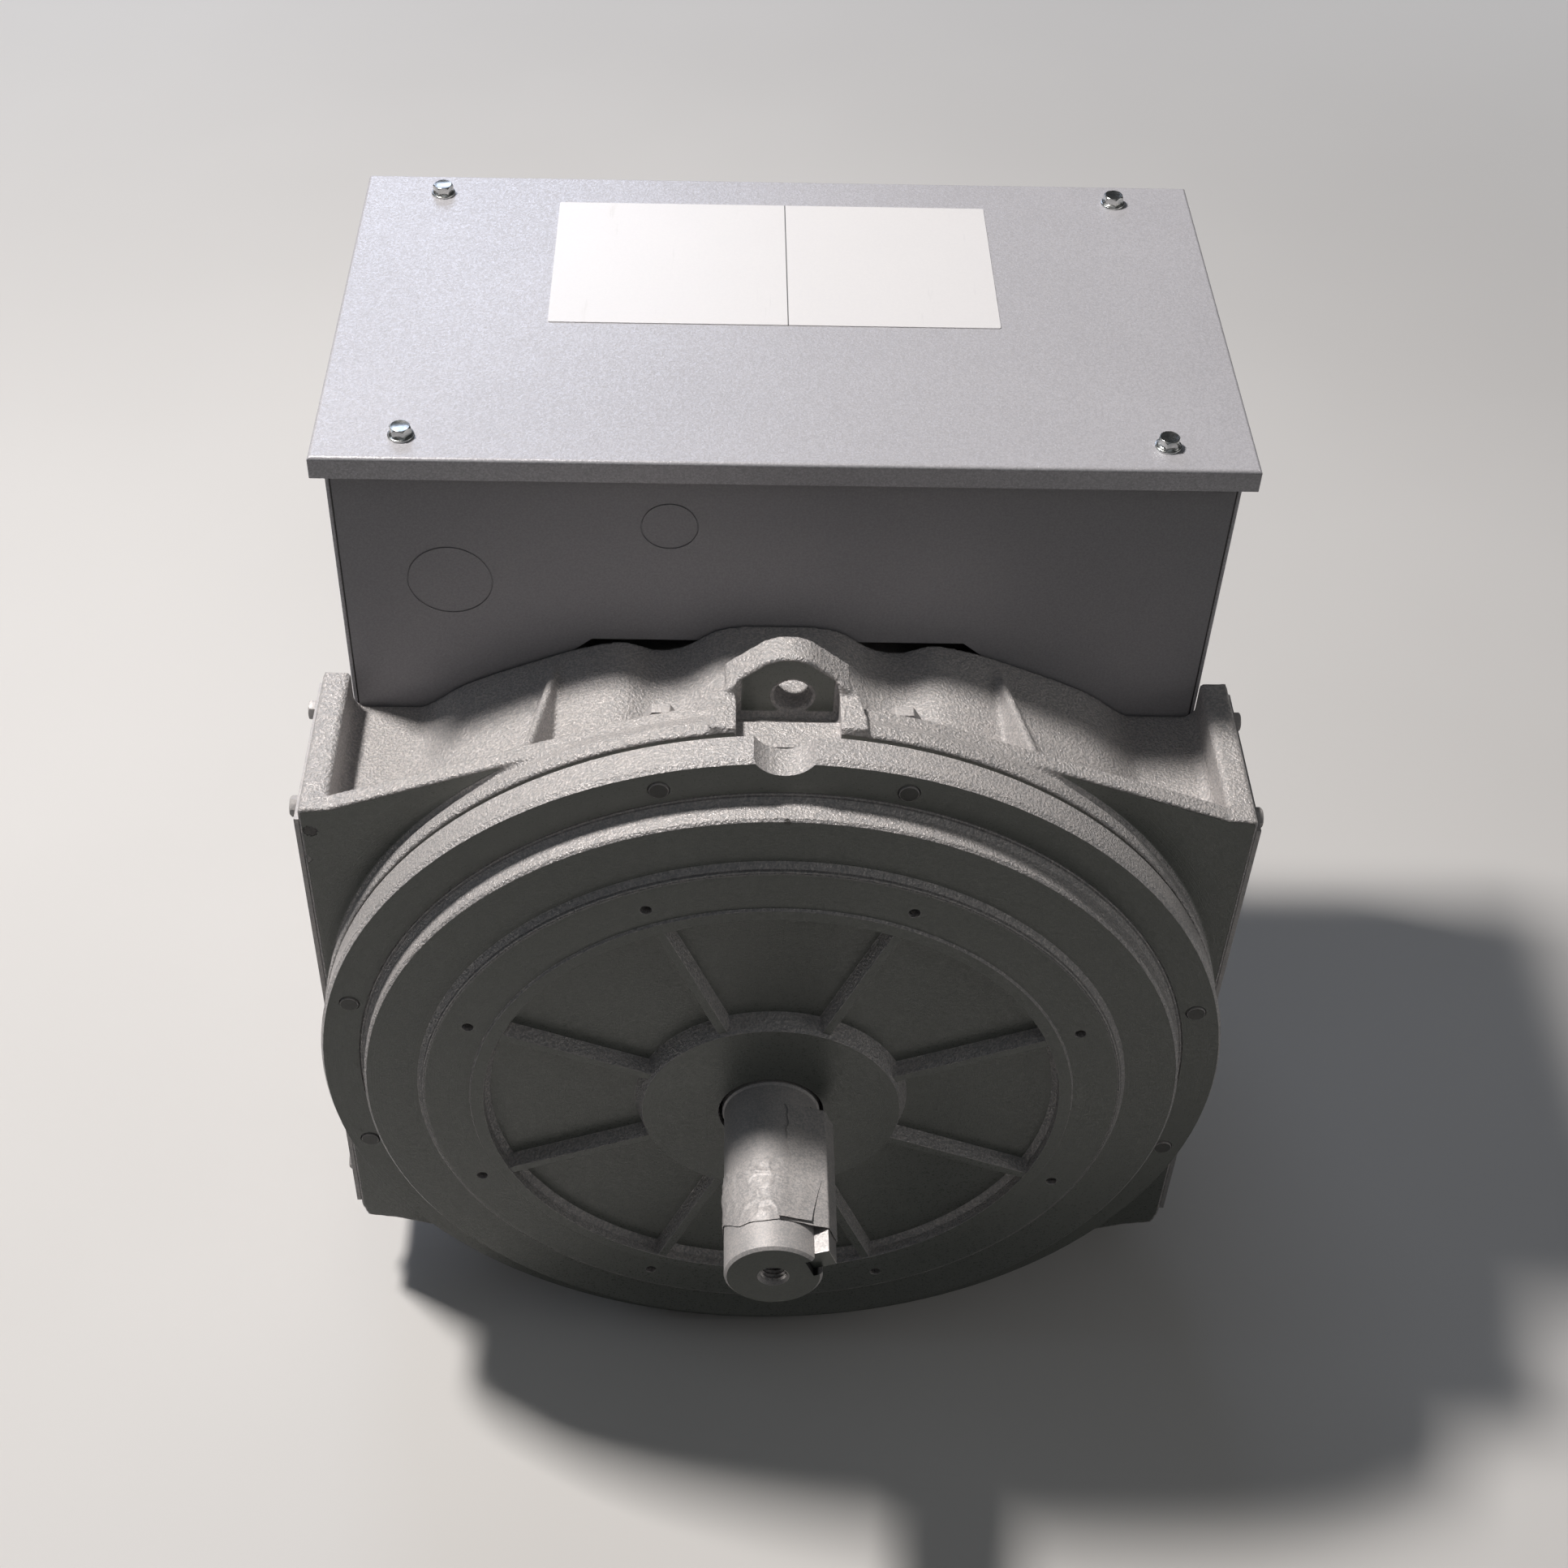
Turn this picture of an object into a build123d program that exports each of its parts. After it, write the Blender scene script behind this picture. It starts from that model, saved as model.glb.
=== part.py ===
"""Marine alternator with an adaptor ring at its drive end and a terminal box on its back.

X runs across the machine, Y runs along the shaft away from the drive end, and Z is up.
The origin is on the floor, under the shaft's axis, at the middle of the four foot holes.
All sizes are in millimetres.
"""
import os
from math import acos, atan2, cos, hypot, radians, sin, sqrt

from build123d import *

os.makedirs("parts", exist_ok=True)

# Shaft line
shaft_height = 250.0
shaft_radius = 25.4
shaft_reach = 125.6
shoulder_reach = 24.0
journal_radius = 26.4
rotor_seat_radius = 28.0
running_gap = 0.3
rotor_gap = 5.0

# Lengths along the machine
frame_length = 310.0
bracket_depth = 104.5
ring_standoff = 36.0
bracket_rear_y = -frame_length / 2
frame_rear_y = frame_length / 2
plate_front_y = bracket_rear_y - bracket_depth
ring_front_y = plate_front_y - ring_standoff
shaft_tip_y = ring_front_y - shaft_reach
shaft_shoulder_y = ring_front_y - shoulder_reach

# Adaptor ring and its bolts
ring_radius = 246.0
ring_thickness = 18.5
ring_chamfer = 3.0
ring_chamfer_rise = 1.5
ring_draft = 0.5
ring_band = 21.0
sleeve_step = 6.5
ring_face_radius = ring_radius - ring_chamfer_rise
ring_bore_radius = ring_radius - ring_band
sleeve_radius = ring_radius - sleeve_step
ring_bolt_inset = 12.5
bolt_circle_radius = ring_radius - ring_bolt_inset
ring_bolt_radius = 5.0
bolt_clearance = 0.5
ring_hole_radius = ring_bolt_radius + bolt_clearance
bolt_head_radius = 9.2
bolt_head_height = 6.5
bolt_stand_out = 1.0
ring_bolt_angles = (15.0, 75.0, 105.0, 165.0, 195.0, 345.0)
notch_radius = 17.0
notch_depth = 9.5

# Drive-end bracket
plate_thickness = 10.0
plate_rear_y = plate_front_y + plate_thickness
bead_gap = 3.0
bead_width = 8.0
bead_rise = 0.5
bead_depth = 8.0
bead_front_y = ring_front_y + ring_thickness + bead_gap
bead_rear_y = bead_front_y + bead_width
bead_radius = ring_radius + bead_rise
bead_bore_radius = bead_radius - bead_depth
bracket_seat = 25.0
bracket_bore_radius = ring_bore_radius - bracket_seat
side_setback = 0.5
side_half_width = bead_radius - side_setback
side_wall = 15.0
side_wall_top = 171.0
side_wall_bottom = -180.0
rear_wall = 12.0
window_length = 64.0
window_height = 250.0
window_y = plate_front_y + 56.0
window_z = -12.0

# End shield
shield_fit_step = 4.0
shield_band = 31.0
shield_flat = 27.0
lip_width = 7.0
shield_face_y = ring_front_y - 20.0
shield_band_y = ring_front_y - 14.5
shield_band_radius = ring_bore_radius - shield_fit_step
shield_step_radius = shield_band_radius - shield_band
lip_outer_radius = shield_step_radius - shield_flat
lip_inner_radius = lip_outer_radius - lip_width
lip_y = shield_face_y - 1.5
recess_y = shield_face_y + 7.0
hub_y = shield_face_y - 3.0
hub_radius = 70.0
hub_bore_radius = journal_radius + 2.1
rib_width = 5.0
rib_draft = 15.0
tapped_inset = 16.0
tapped_circle_radius = shield_step_radius - tapped_inset
tapped_radius = 3.0
bearing_radius = 55.0
bearing_front_y = ring_front_y + 8.0
bearing_width = 27.0

# Stator and its frame
frame_radius = 188.0
frame_wall = 10.0
core_radius = frame_radius - frame_wall
core_setback = 63.0
core_bore_radius = 105.0
core_front_y = bracket_rear_y + core_setback
core_length = 150.0
winding_length = 46.0
winding_depth = 52.0
winding_inset = 9.0
rotor_radius = core_bore_radius - rotor_gap

# Feet
foot_span = 406.0
foot_pitch = 254.0
foot_hole_radius = 12.0
foot_end = 22.0
foot_plate = 16.0
foot_web = 12.0
foot_outer_x = foot_span / 2 + 37.0
foot_inner_x = frame_radius - 23.0
foot_web_drop = 85.0
foot_rib = 10.0

# Non-drive end
tail_bracket_length = 40.0
tail_rear_y = frame_rear_y + tail_bracket_length
tail_rim = 26.0
tail_spoke = 26.0
tail_hub_radius = 55.0
tail_bearing_radius = 36.0
tail_bearing_width = 20.0
tail_journal_radius = 20.0
cover_step = 23.0
cover_radius = frame_radius - cover_step
cover_length = 73.0
cover_screw_inset = 13.0
sheet = 2.0

# Terminal box
box_gap = 1.0
box_front_y = bracket_rear_y + box_gap
box_depth = 256.5
box_rear_y = box_front_y + box_depth
box_half_width = 231.5
box_floor_rise = 141.5
box_floor_z = shaft_height + box_floor_rise
lid_rise = 320.0
lid_top_z = shaft_height + lid_rise
lid_side_overhang = 6.3
lid_half_width = box_half_width + lid_side_overhang
lid_overhang = 7.0
lid_skirt = 11.0
lid_bend = 2.0
flange_width = 26.0
lid_bolt_side = 38.5
lid_bolt_x = box_half_width - lid_bolt_side
lid_bolt_inset = 12.5
lid_bolt_radius = 4.0
lid_hole_radius = lid_bolt_radius + bolt_clearance
label_width = 243.0
label_depth = 121.0
label_thickness = 0.5
label_offset_x = -4.0
label_offset_y = 47.0

spin_axis = Axis((0, 0, shaft_height), (0, 1, 0))
profile_plane = Plane(origin=(0, 0, shaft_height), x_dir=(0, 1, 0), z_dir=(1, 0, 0))


def face_plane(y):
    """A plane across the shaft at y, seen from the drive end, centred on the shaft."""
    return Plane(origin=(0, y, shaft_height), x_dir=(1, 0, 0), z_dir=(0, -1, 0))


def mirrored(points):
    """The points of a right-hand half outline, top to bottom, closed by the left-hand half."""
    return points + [(-x, z) for x, z in reversed(points) if x != 0]


# Adaptor ring
notch_floor = ring_radius - notch_depth
pocket_floor = notch_floor + 1.0
pocket_half_width = 25.5
lug_x = 2.0
with BuildPart() as adaptor_ring:
    with BuildSketch(profile_plane):
        with BuildLine():
            Polyline(
                (ring_front_y, ring_bore_radius),
                (ring_front_y, ring_face_radius),
                (ring_front_y + ring_chamfer, ring_radius),
                (ring_front_y + ring_thickness, ring_radius - ring_draft),
                (ring_front_y + ring_thickness, sleeve_radius),
                (plate_front_y, sleeve_radius),
                (plate_front_y, ring_bore_radius),
                close=True,
            )
        make_face()
    revolve(axis=spin_axis)
    # Half-round notch at the top, in line with the lifting lug, with a flat behind it
    with BuildSketch(face_plane(ring_front_y - 1)):
        with Locations((0, notch_floor + notch_radius)):
            Circle(notch_radius)
    extrude(amount=-(ring_thickness + 1), mode=Mode.SUBTRACT)
    with BuildSketch(face_plane(ring_front_y + ring_thickness)):
        with Locations((lug_x, pocket_floor + notch_radius)):
            Rectangle(2 * pocket_half_width, 2 * notch_radius)
    extrude(amount=-(ring_standoff - ring_thickness + 1), mode=Mode.SUBTRACT)
    # Holes for the bolts that come through from the bracket
    with BuildSketch(face_plane(ring_front_y - 1)):
        for angle in ring_bolt_angles:
            with Locations((bolt_circle_radius * cos(radians(angle)), bolt_circle_radius * sin(radians(angle)))):
                Circle(ring_hole_radius)
    extrude(amount=-(plate_front_y - ring_front_y + 2), mode=Mode.SUBTRACT)
adaptor_ring.part.label = "adaptor_ring"
export_step(adaptor_ring.part, "parts/adaptor_ring.step")

# Bolts of the adaptor ring, with their heads behind the bracket's plate
ring_bolt_tip_y = ring_front_y - bolt_stand_out
with BuildPart() as adaptor_bolts:
    for angle in ring_bolt_angles:
        centre = (bolt_circle_radius * cos(radians(angle)), bolt_circle_radius * sin(radians(angle)))
        with BuildSketch(face_plane(ring_bolt_tip_y)):
            with Locations(centre):
                Circle(ring_bolt_radius)
        extrude(amount=-(plate_rear_y - ring_bolt_tip_y))
        with BuildSketch(face_plane(plate_rear_y)):
            with Locations(centre):
                RegularPolygon(radius=bolt_head_radius, side_count=6)
        extrude(amount=-bolt_head_height)
adaptor_bolts.part.label = "adaptor_bolts"
export_step(adaptor_bolts.part, "parts/adaptor_bolts.step")

# Outline of the bracket's front plate, right half, from the arc over the ring down
plate_arc_radius = ring_radius - 4.5
plate_arc_x = 88.0
plate_arc_z = sqrt(plate_arc_radius**2 - plate_arc_x**2)
plate_side = [
    (plate_arc_x, plate_arc_z),
    (side_half_width - side_wall, side_wall_top + 1),
    (side_half_width - 2, side_wall_top),
    (side_half_width, side_wall_top - 2),
    (side_half_width, side_wall_bottom),
    (side_half_width - 3, side_wall_bottom - 11),
    (side_half_width - 21, side_wall_bottom - 14),
    (side_half_width - 56, side_wall_bottom - 26),
    (side_half_width - 96, 24 - ring_radius),
    (side_half_width - 146, 12 - ring_radius),
    (0, 6 - ring_radius),
]
# Outline of the body behind the plate: a wavy tray over the barrel, between two side walls
tray_height = ring_radius - 38.0
tray_points = [
    (0, 0),
    (24, -1),
    (34, -4),
    (47, -13),
    (58, -17),
    (68, -17),
    (79, -13),
    (92, -13.5),
    (105, -17),
    (122, -23.5),
    (140, -31),
    (158, -39),
    (177, -50),
    (187, -58),
    (194, -62),
]
tray_half = [(x, tray_height + drop) for x, drop in tray_points]
tray_curve = [(-x, z) for x, z in reversed(tray_half[1:])] + tray_half
tray_edge_x, tray_edge_z = tray_half[-1]
tray_corner = 4.0
tray_side = [
    (tray_edge_x, tray_edge_z),
    (side_half_width - side_wall - tray_corner, tray_edge_z),
    (side_half_width - side_wall, tray_edge_z + tray_corner),
    (side_half_width - side_wall, side_wall_top - 2),
    (side_half_width - side_wall + 2, side_wall_top),
    (side_half_width - 2, side_wall_top),
    (side_half_width, side_wall_top - 2),
    (side_half_width, side_wall_bottom),
    (side_half_width - 10, side_wall_bottom - 8),
    (side_half_width - 56, side_wall_bottom - 20),
    (side_half_width - 136, 29 - ring_radius),
    (0, 20 - ring_radius),
]
# Fan chamber inside the bracket
chamber = [
    (0, tray_height - 15),
    (95, tray_height - 27),
    (150, tray_height - 50),
    (186, tray_height - 74),
    (side_half_width - side_wall, tray_height - 74),
    (side_half_width - side_wall, side_wall_bottom + 8),
    (side_half_width - 60, side_wall_bottom - 8),
    (side_half_width - 136, 42 - ring_radius),
    (0, 34 - ring_radius),
]
ear_rear_width = 9.0
ear_front_width = 13.0
ear_top = ring_radius + 0.5
lug_front_y = plate_front_y + 14.0
lug_thickness = 17.0
lug_rear_y = lug_front_y + lug_thickness
lug_half_width = 31.0
lug_top = ring_radius + 21.0
lug_hole_x = lug_x + 2.5
lug_hole_z = ring_radius - 4.0
lug_hole_radius = 9.5
lug_foot_z = lug_hole_z - lug_hole_radius - 3.5
gusset_x = 121.0
gusset_rear_y = bracket_rear_y - 9.0
with BuildPart() as drive_end_bracket:
    with BuildSketch(face_plane(plate_front_y)):
        with BuildLine():
            ThreePointArc((-plate_arc_x, plate_arc_z), (0, plate_arc_radius), (plate_arc_x, plate_arc_z))
            Polyline(*plate_side)
            Polyline(*[(-x, z) for x, z in plate_side])
        make_face()
    extrude(amount=-plate_thickness)
    # Tray, side walls and rear wall, with the fan chamber inside
    with BuildSketch(face_plane(plate_rear_y)):
        with BuildLine():
            Spline(*tray_curve)
            Polyline(*tray_side)
            Polyline(*[(-x, z) for x, z in tray_side])
        make_face()
    extrude(amount=-(bracket_rear_y - plate_rear_y))
    with BuildSketch(face_plane(plate_rear_y)):
        with BuildLine():
            Polyline(*mirrored(chamber), close=True)
        make_face()
    extrude(amount=-(bracket_rear_y - rear_wall - plate_rear_y), mode=Mode.SUBTRACT)
    # Tapered bead on the plate around the adaptor
    with BuildSketch(profile_plane):
        with BuildLine():
            Polyline(
                (bead_front_y, bead_bore_radius),
                (bead_front_y, bead_radius - 1),
                (bead_front_y + 1, bead_radius),
                (bead_rear_y, bead_radius),
                (plate_front_y, bead_radius - 3.5),
                (plate_front_y + 1, bead_radius - 3.5),
                (plate_front_y + 1, bead_bore_radius),
                close=True,
            )
        make_face()
    revolve(axis=spin_axis)
    with BuildSketch(face_plane(bead_front_y - 1)):
        Circle(sleeve_radius + running_gap)
    extrude(amount=-(plate_front_y - bead_front_y + 1), mode=Mode.SUBTRACT)
    # Bore for the end shield, and the opening to the stator
    with BuildSketch(face_plane(plate_front_y - 1)):
        Circle(bracket_bore_radius)
    extrude(amount=-(plate_thickness + 2), mode=Mode.SUBTRACT)
    with BuildSketch(face_plane(bracket_rear_y - rear_wall - 1)):
        Circle(core_radius + 2)
    extrude(amount=-(rear_wall + 2), mode=Mode.SUBTRACT)
    # Lifting lug with a rounded crest, standing on the tray
    lug_shoulder = lug_top - 18.5
    crest_x = 12.0
    crest_z = lug_top - 3.2
    with BuildSketch(face_plane(plate_rear_y)):
        with BuildLine():
            ThreePointArc((lug_x - crest_x, crest_z), (lug_x, lug_top), (lug_x + crest_x, crest_z))
            Polyline(
                (lug_x + crest_x, crest_z),
                (lug_x + lug_half_width, lug_shoulder),
                (lug_x + lug_half_width, tray_height - 18),
                (lug_x - lug_half_width, tray_height - 18),
                (lug_x - lug_half_width, lug_shoulder),
                (lug_x - crest_x, crest_z),
            )
        make_face()
    extrude(amount=-(lug_rear_y - plate_rear_y))
    # Ears that run back from the bead to the lug
    with BuildSketch(Plane.XY.offset(shaft_height + tray_height - 10)):
        for side in (1, -1):
            with BuildLine():
                Polyline(
                    (lug_x + side * (pocket_half_width - 1), bead_front_y + 1),
                    (lug_x + side * (pocket_half_width + ear_front_width), bead_front_y + 1),
                    (lug_x + side * (pocket_half_width + ear_front_width), bead_rear_y),
                    (lug_x + side * (pocket_half_width + ear_rear_width), lug_front_y + 1),
                    (lug_x + side * (pocket_half_width - 1), lug_front_y + 1),
                    close=True,
                )
            make_face()
    extrude(amount=ear_top - tray_height + 10)
    # The adaptor's sleeve passes under the ears
    with BuildSketch(face_plane(bead_front_y - 1)):
        Circle(sleeve_radius + running_gap)
    extrude(amount=-(plate_front_y - bead_front_y + 1), mode=Mode.SUBTRACT)
    # Pocket between the ears, in front of the lug
    pocket_plane = Plane(origin=(lug_x - pocket_half_width, 0, shaft_height), x_dir=(0, 1, 0), z_dir=(1, 0, 0))
    with BuildSketch(pocket_plane):
        with BuildLine():
            Polyline(
                (bead_front_y - 1, pocket_floor),
                (plate_front_y - 4, pocket_floor),
                (lug_front_y - 4, lug_foot_z),
                (lug_front_y, lug_foot_z),
                (lug_front_y, lug_top + 10),
                (bead_front_y - 1, lug_top + 10),
                close=True,
            )
        make_face()
    extrude(amount=2 * pocket_half_width, mode=Mode.SUBTRACT)
    with BuildSketch(face_plane(lug_front_y - 1)):
        with Locations((lug_hole_x, lug_hole_z)):
            Circle(lug_hole_radius)
    extrude(amount=-(lug_thickness + 2), mode=Mode.SUBTRACT)
    # Two wedge-shaped gussets between the plate and the tray
    for side in (1, -1):
        with BuildSketch(face_plane(plate_rear_y - 1)):
            with BuildLine():
                Polyline(
                    (side * (gusset_x - 9), tray_height - 36),
                    (side * (gusset_x + 5), tray_height + 2),
                    (side * (gusset_x + 9), tray_height + 1),
                    (side * (gusset_x + 15), tray_height - 36),
                    close=True,
                )
            make_face()
        with BuildSketch(face_plane(gusset_rear_y)):
            with BuildLine():
                Polyline(
                    (side * (gusset_x - 9), tray_height - 36),
                    (side * (gusset_x - 4), tray_height - 21),
                    (side * (gusset_x - 1), tray_height - 22),
                    (side * (gusset_x + 5), tray_height - 36),
                    close=True,
                )
            make_face()
        loft(ruled=True)
    # Air outlets in the side walls
    window_plane = Plane(origin=(side_half_width + 1, 0, shaft_height), x_dir=(0, 1, 0), z_dir=(1, 0, 0))
    with BuildSketch(window_plane):
        with Locations((window_y, window_z)):
            RectangleRounded(window_length, window_height, 12)
    extrude(amount=-(2 * side_half_width + 2), mode=Mode.SUBTRACT)
    # Bolt holes, with room for the heads behind the plate
    with BuildSketch(face_plane(bead_front_y - 1)):
        for angle in ring_bolt_angles:
            with Locations((bolt_circle_radius * cos(radians(angle)), bolt_circle_radius * sin(radians(angle)))):
                Circle(ring_hole_radius)
    extrude(amount=-(plate_rear_y - bead_front_y + 2), mode=Mode.SUBTRACT)
    with BuildSketch(face_plane(plate_rear_y)):
        for angle in ring_bolt_angles:
            with Locations((bolt_circle_radius * cos(radians(angle)), bolt_circle_radius * sin(radians(angle)))):
                Circle(bolt_head_radius + 1.8)
    extrude(amount=-(bolt_head_height + 2.5), mode=Mode.SUBTRACT)
drive_end_bracket.part.label = "drive_end_bracket"
export_step(drive_end_bracket.part, "parts/drive_end_bracket.step")

# End shield: a round cast plate with a ribbed recess and a hub for the bearing
with BuildPart() as end_shield:
    with BuildSketch(profile_plane):
        with BuildLine():
            Polyline(
                (hub_y, hub_bore_radius),
                (hub_y, hub_radius),
                (recess_y, hub_radius + 4),
                (recess_y, lip_inner_radius - 3),
                (recess_y - 3, lip_inner_radius),
                (lip_y, lip_inner_radius),
                (lip_y, lip_outer_radius),
                (shield_face_y, lip_outer_radius + 0.5),
                (shield_face_y, shield_step_radius - 4),
                (shield_face_y + 1, shield_step_radius - 1),
                (shield_band_y, shield_step_radius + 2),
                (shield_band_y, shield_band_radius - 1.5),
                (shield_band_y + 1.5, shield_band_radius),
                (ring_front_y - 4, shield_band_radius),
                (ring_front_y - 1, shield_band_radius + 1.5),
                (ring_front_y + 0.5, ring_bore_radius),
                (plate_front_y, ring_bore_radius),
                (plate_front_y, bracket_bore_radius),
                (ring_front_y + 4, bracket_bore_radius - 12),
                (ring_front_y + 4, bearing_radius + 25),
                (bearing_front_y + bearing_width, bearing_radius + 16),
                (bearing_front_y + bearing_width, bearing_radius),
                (bearing_front_y, bearing_radius),
                (bearing_front_y, hub_bore_radius),
                close=True,
            )
        make_face()
    revolve(axis=spin_axis)
    # Eight radial ribs across the recess
    rib_length = lip_inner_radius - hub_radius
    rib_centre = (lip_inner_radius + hub_radius) / 2
    with BuildSketch(face_plane(lip_y + 0.5)):
        with PolarLocations(rib_centre, 8, start_angle=22.5):
            Rectangle(rib_length, rib_width)
    extrude(amount=-(recess_y - lip_y - 0.5), taper=-rib_draft)
    # Tapped holes around the recess
    with BuildSketch(face_plane(shield_face_y)):
        with PolarLocations(tapped_circle_radius, 8, start_angle=22.5):
            Circle(tapped_radius)
    extrude(amount=-14, mode=Mode.SUBTRACT)
end_shield.part.label = "end_shield"
export_step(end_shield.part, "parts/end_shield.step")

# Drive-end bearing, seated in the shield's hub
with BuildPart() as drive_end_bearing:
    with BuildSketch(face_plane(bearing_front_y)):
        Circle(bearing_radius)
        Circle(journal_radius + running_gap, mode=Mode.SUBTRACT)
    extrude(amount=-bearing_width)
drive_end_bearing.part.label = "drive_end_bearing"
export_step(drive_end_bearing.part, "parts/drive_end_bearing.step")

# Sheet covers with slots over the side air outlets, and their screws
cover_sheet = 2.5
cover_front_y = plate_front_y + 1
cover_rear_y = bracket_rear_y - 1
cover_top = side_wall_top - 8.0
cover_bottom = side_wall_bottom + 4.0
cover_screw_y = (cover_front_y + 20.0, cover_rear_y - 10.0)
cover_screw_z = (cover_top - 11.0, cover_bottom + 14.0)
cover_screw_radius = 3.0
screw_washer_radius = 7.0
screw_head_radius = 5.8
slot_count = 12
slot_pitch = 20.0
slot_length = window_length - 8.0
slot_width = 8.0
with BuildPart() as side_cover_right:
    cover_plane = Plane(origin=(side_half_width, 0, shaft_height), x_dir=(0, 1, 0), z_dir=(1, 0, 0))
    with BuildSketch(cover_plane):
        with Locations(((cover_front_y + cover_rear_y) / 2, (cover_top + cover_bottom) / 2)):
            Rectangle(cover_rear_y - cover_front_y, cover_top - cover_bottom)
        with Locations((window_y, window_z)):
            with GridLocations(1, slot_pitch, 1, slot_count):
                SlotOverall(slot_length, slot_width, mode=Mode.SUBTRACT)
        with Locations(*[(y, z) for y in cover_screw_y for z in cover_screw_z]):
            Circle(cover_screw_radius + bolt_clearance, mode=Mode.SUBTRACT)
    extrude(amount=cover_sheet)
side_cover_right.part.label = "side_cover_right"
export_step(side_cover_right.part, "parts/side_cover_right.step")

with BuildPart() as side_cover_left:
    add(mirror(side_cover_right.part, about=Plane.YZ))
side_cover_left.part.label = "side_cover_left"
export_step(side_cover_left.part, "parts/side_cover_left.step")

with BuildPart() as cover_screws_right:
    for y in cover_screw_y:
        for z in cover_screw_z:
            head_plane = Plane(
                origin=(side_half_width + cover_sheet, y, shaft_height + z), x_dir=(0, 1, 0), z_dir=(1, 0, 0)
            )
            with BuildSketch(head_plane):
                Circle(screw_washer_radius)
            extrude(amount=1.2)
            with BuildSketch(head_plane):
                RegularPolygon(radius=screw_head_radius, side_count=6)
            extrude(amount=5.5)
            with BuildSketch(head_plane):
                Circle(cover_screw_radius)
            extrude(amount=-cover_sheet)
cover_screws_right.part.label = "cover_screws_right"
export_step(cover_screws_right.part, "parts/cover_screws_right.step")

with BuildPart() as cover_screws_left:
    add(mirror(cover_screws_right.part, about=Plane.YZ))
cover_screws_left.part.label = "cover_screws_left"
export_step(cover_screws_left.part, "parts/cover_screws_left.step")

# Stator frame: a rolled barrel
with BuildPart() as stator_frame:
    with BuildSketch(face_plane(bracket_rear_y)):
        Circle(frame_radius)
        Circle(core_radius, mode=Mode.SUBTRACT)
    extrude(amount=-frame_length)
stator_frame.part.label = "stator_frame"
export_step(stator_frame.part, "parts/stator_frame.step")

# Stator core and the overhanging windings at its two ends
with BuildPart() as stator_core:
    with BuildSketch(face_plane(core_front_y)):
        Circle(core_radius)
        Circle(core_bore_radius, mode=Mode.SUBTRACT)
    extrude(amount=-core_length)
stator_core.part.label = "stator_core"
export_step(stator_core.part, "parts/stator_core.step")

winding_centre_radius = core_bore_radius + winding_inset + winding_depth / 2
with BuildPart() as drive_end_windings:
    with BuildSketch(profile_plane):
        with Locations((core_front_y - winding_length / 2, winding_centre_radius)):
            RectangleRounded(winding_length, winding_depth, 12)
    revolve(axis=spin_axis)
drive_end_windings.part.label = "drive_end_windings"
export_step(drive_end_windings.part, "parts/drive_end_windings.step")

with BuildPart() as tail_end_windings:
    with BuildSketch(profile_plane):
        with Locations((core_front_y + core_length + winding_length / 2, winding_centre_radius)):
            RectangleRounded(winding_length, winding_depth, 12)
    revolve(axis=spin_axis)
tail_end_windings.part.label = "tail_end_windings"
export_step(tail_end_windings.part, "parts/tail_end_windings.step")

# Feet: a drilled base plate, a long web and three gussets, welded under the barrel
foot_length = foot_pitch + 2 * foot_end
foot_web_top = shaft_height - foot_web_drop
with BuildPart() as foot_right:
    with Locations(((foot_inner_x + foot_outer_x) / 2 - 6, 0, foot_plate / 2)):
        Box(foot_outer_x - foot_inner_x + 12, foot_length, foot_plate)
    with Locations((foot_inner_x + foot_web / 2, 0, foot_web_top / 2)):
        Box(foot_web, foot_length, foot_web_top)
    for y in (50 - foot_pitch / 2, 0, foot_pitch / 2 - 50):
        rib_plane = Plane(origin=(0, y - foot_rib / 2, 0), x_dir=(1, 0, 0), z_dir=(0, -1, 0))
        with BuildSketch(rib_plane):
            with BuildLine():
                Polyline(
                    (foot_inner_x + foot_web - 1, foot_plate - 1),
                    (foot_outer_x - 8, foot_plate - 1),
                    (foot_outer_x - 8, foot_plate + 10),
                    (foot_inner_x + foot_web - 1, foot_web_top - 49),
                    close=True,
                )
            make_face()
        extrude(amount=-foot_rib)
    # The barrel's outside shapes the top of the web
    with BuildSketch(face_plane(bracket_rear_y)):
        Circle(frame_radius)
    extrude(amount=-frame_length, mode=Mode.SUBTRACT)
    with BuildSketch(Plane.XY.offset(-1)):
        with Locations((foot_span / 2, -foot_pitch / 2), (foot_span / 2, foot_pitch / 2)):
            Circle(foot_hole_radius)
    extrude(amount=foot_plate + 2, mode=Mode.SUBTRACT)
foot_right.part.label = "foot_right"
export_step(foot_right.part, "parts/foot_right.step")

with BuildPart() as foot_left:
    add(mirror(foot_right.part, about=Plane.YZ))
foot_left.part.label = "foot_left"
export_step(foot_left.part, "parts/foot_left.step")

# Non-drive-end bracket: a rim, eight spokes and the bearing hub
with BuildPart() as tail_bracket:
    with BuildSketch(face_plane(frame_rear_y)):
        Circle(frame_radius)
        Circle(frame_radius - tail_rim, mode=Mode.SUBTRACT)
    extrude(amount=-tail_bracket_length)
    with BuildSketch(face_plane(frame_rear_y)):
        Circle(tail_hub_radius)
        Circle(tail_bearing_radius, mode=Mode.SUBTRACT)
    extrude(amount=-(tail_bracket_length - 6))
    with BuildSketch(face_plane(frame_rear_y + 12)):
        with PolarLocations((tail_hub_radius + frame_radius) / 2 - 10, 8, start_angle=22.5):
            Rectangle(frame_radius - tail_hub_radius - 10, tail_spoke)
    extrude(amount=-(tail_bracket_length - 20))
tail_bracket.part.label = "tail_bracket"
export_step(tail_bracket.part, "parts/tail_bracket.step")

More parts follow.
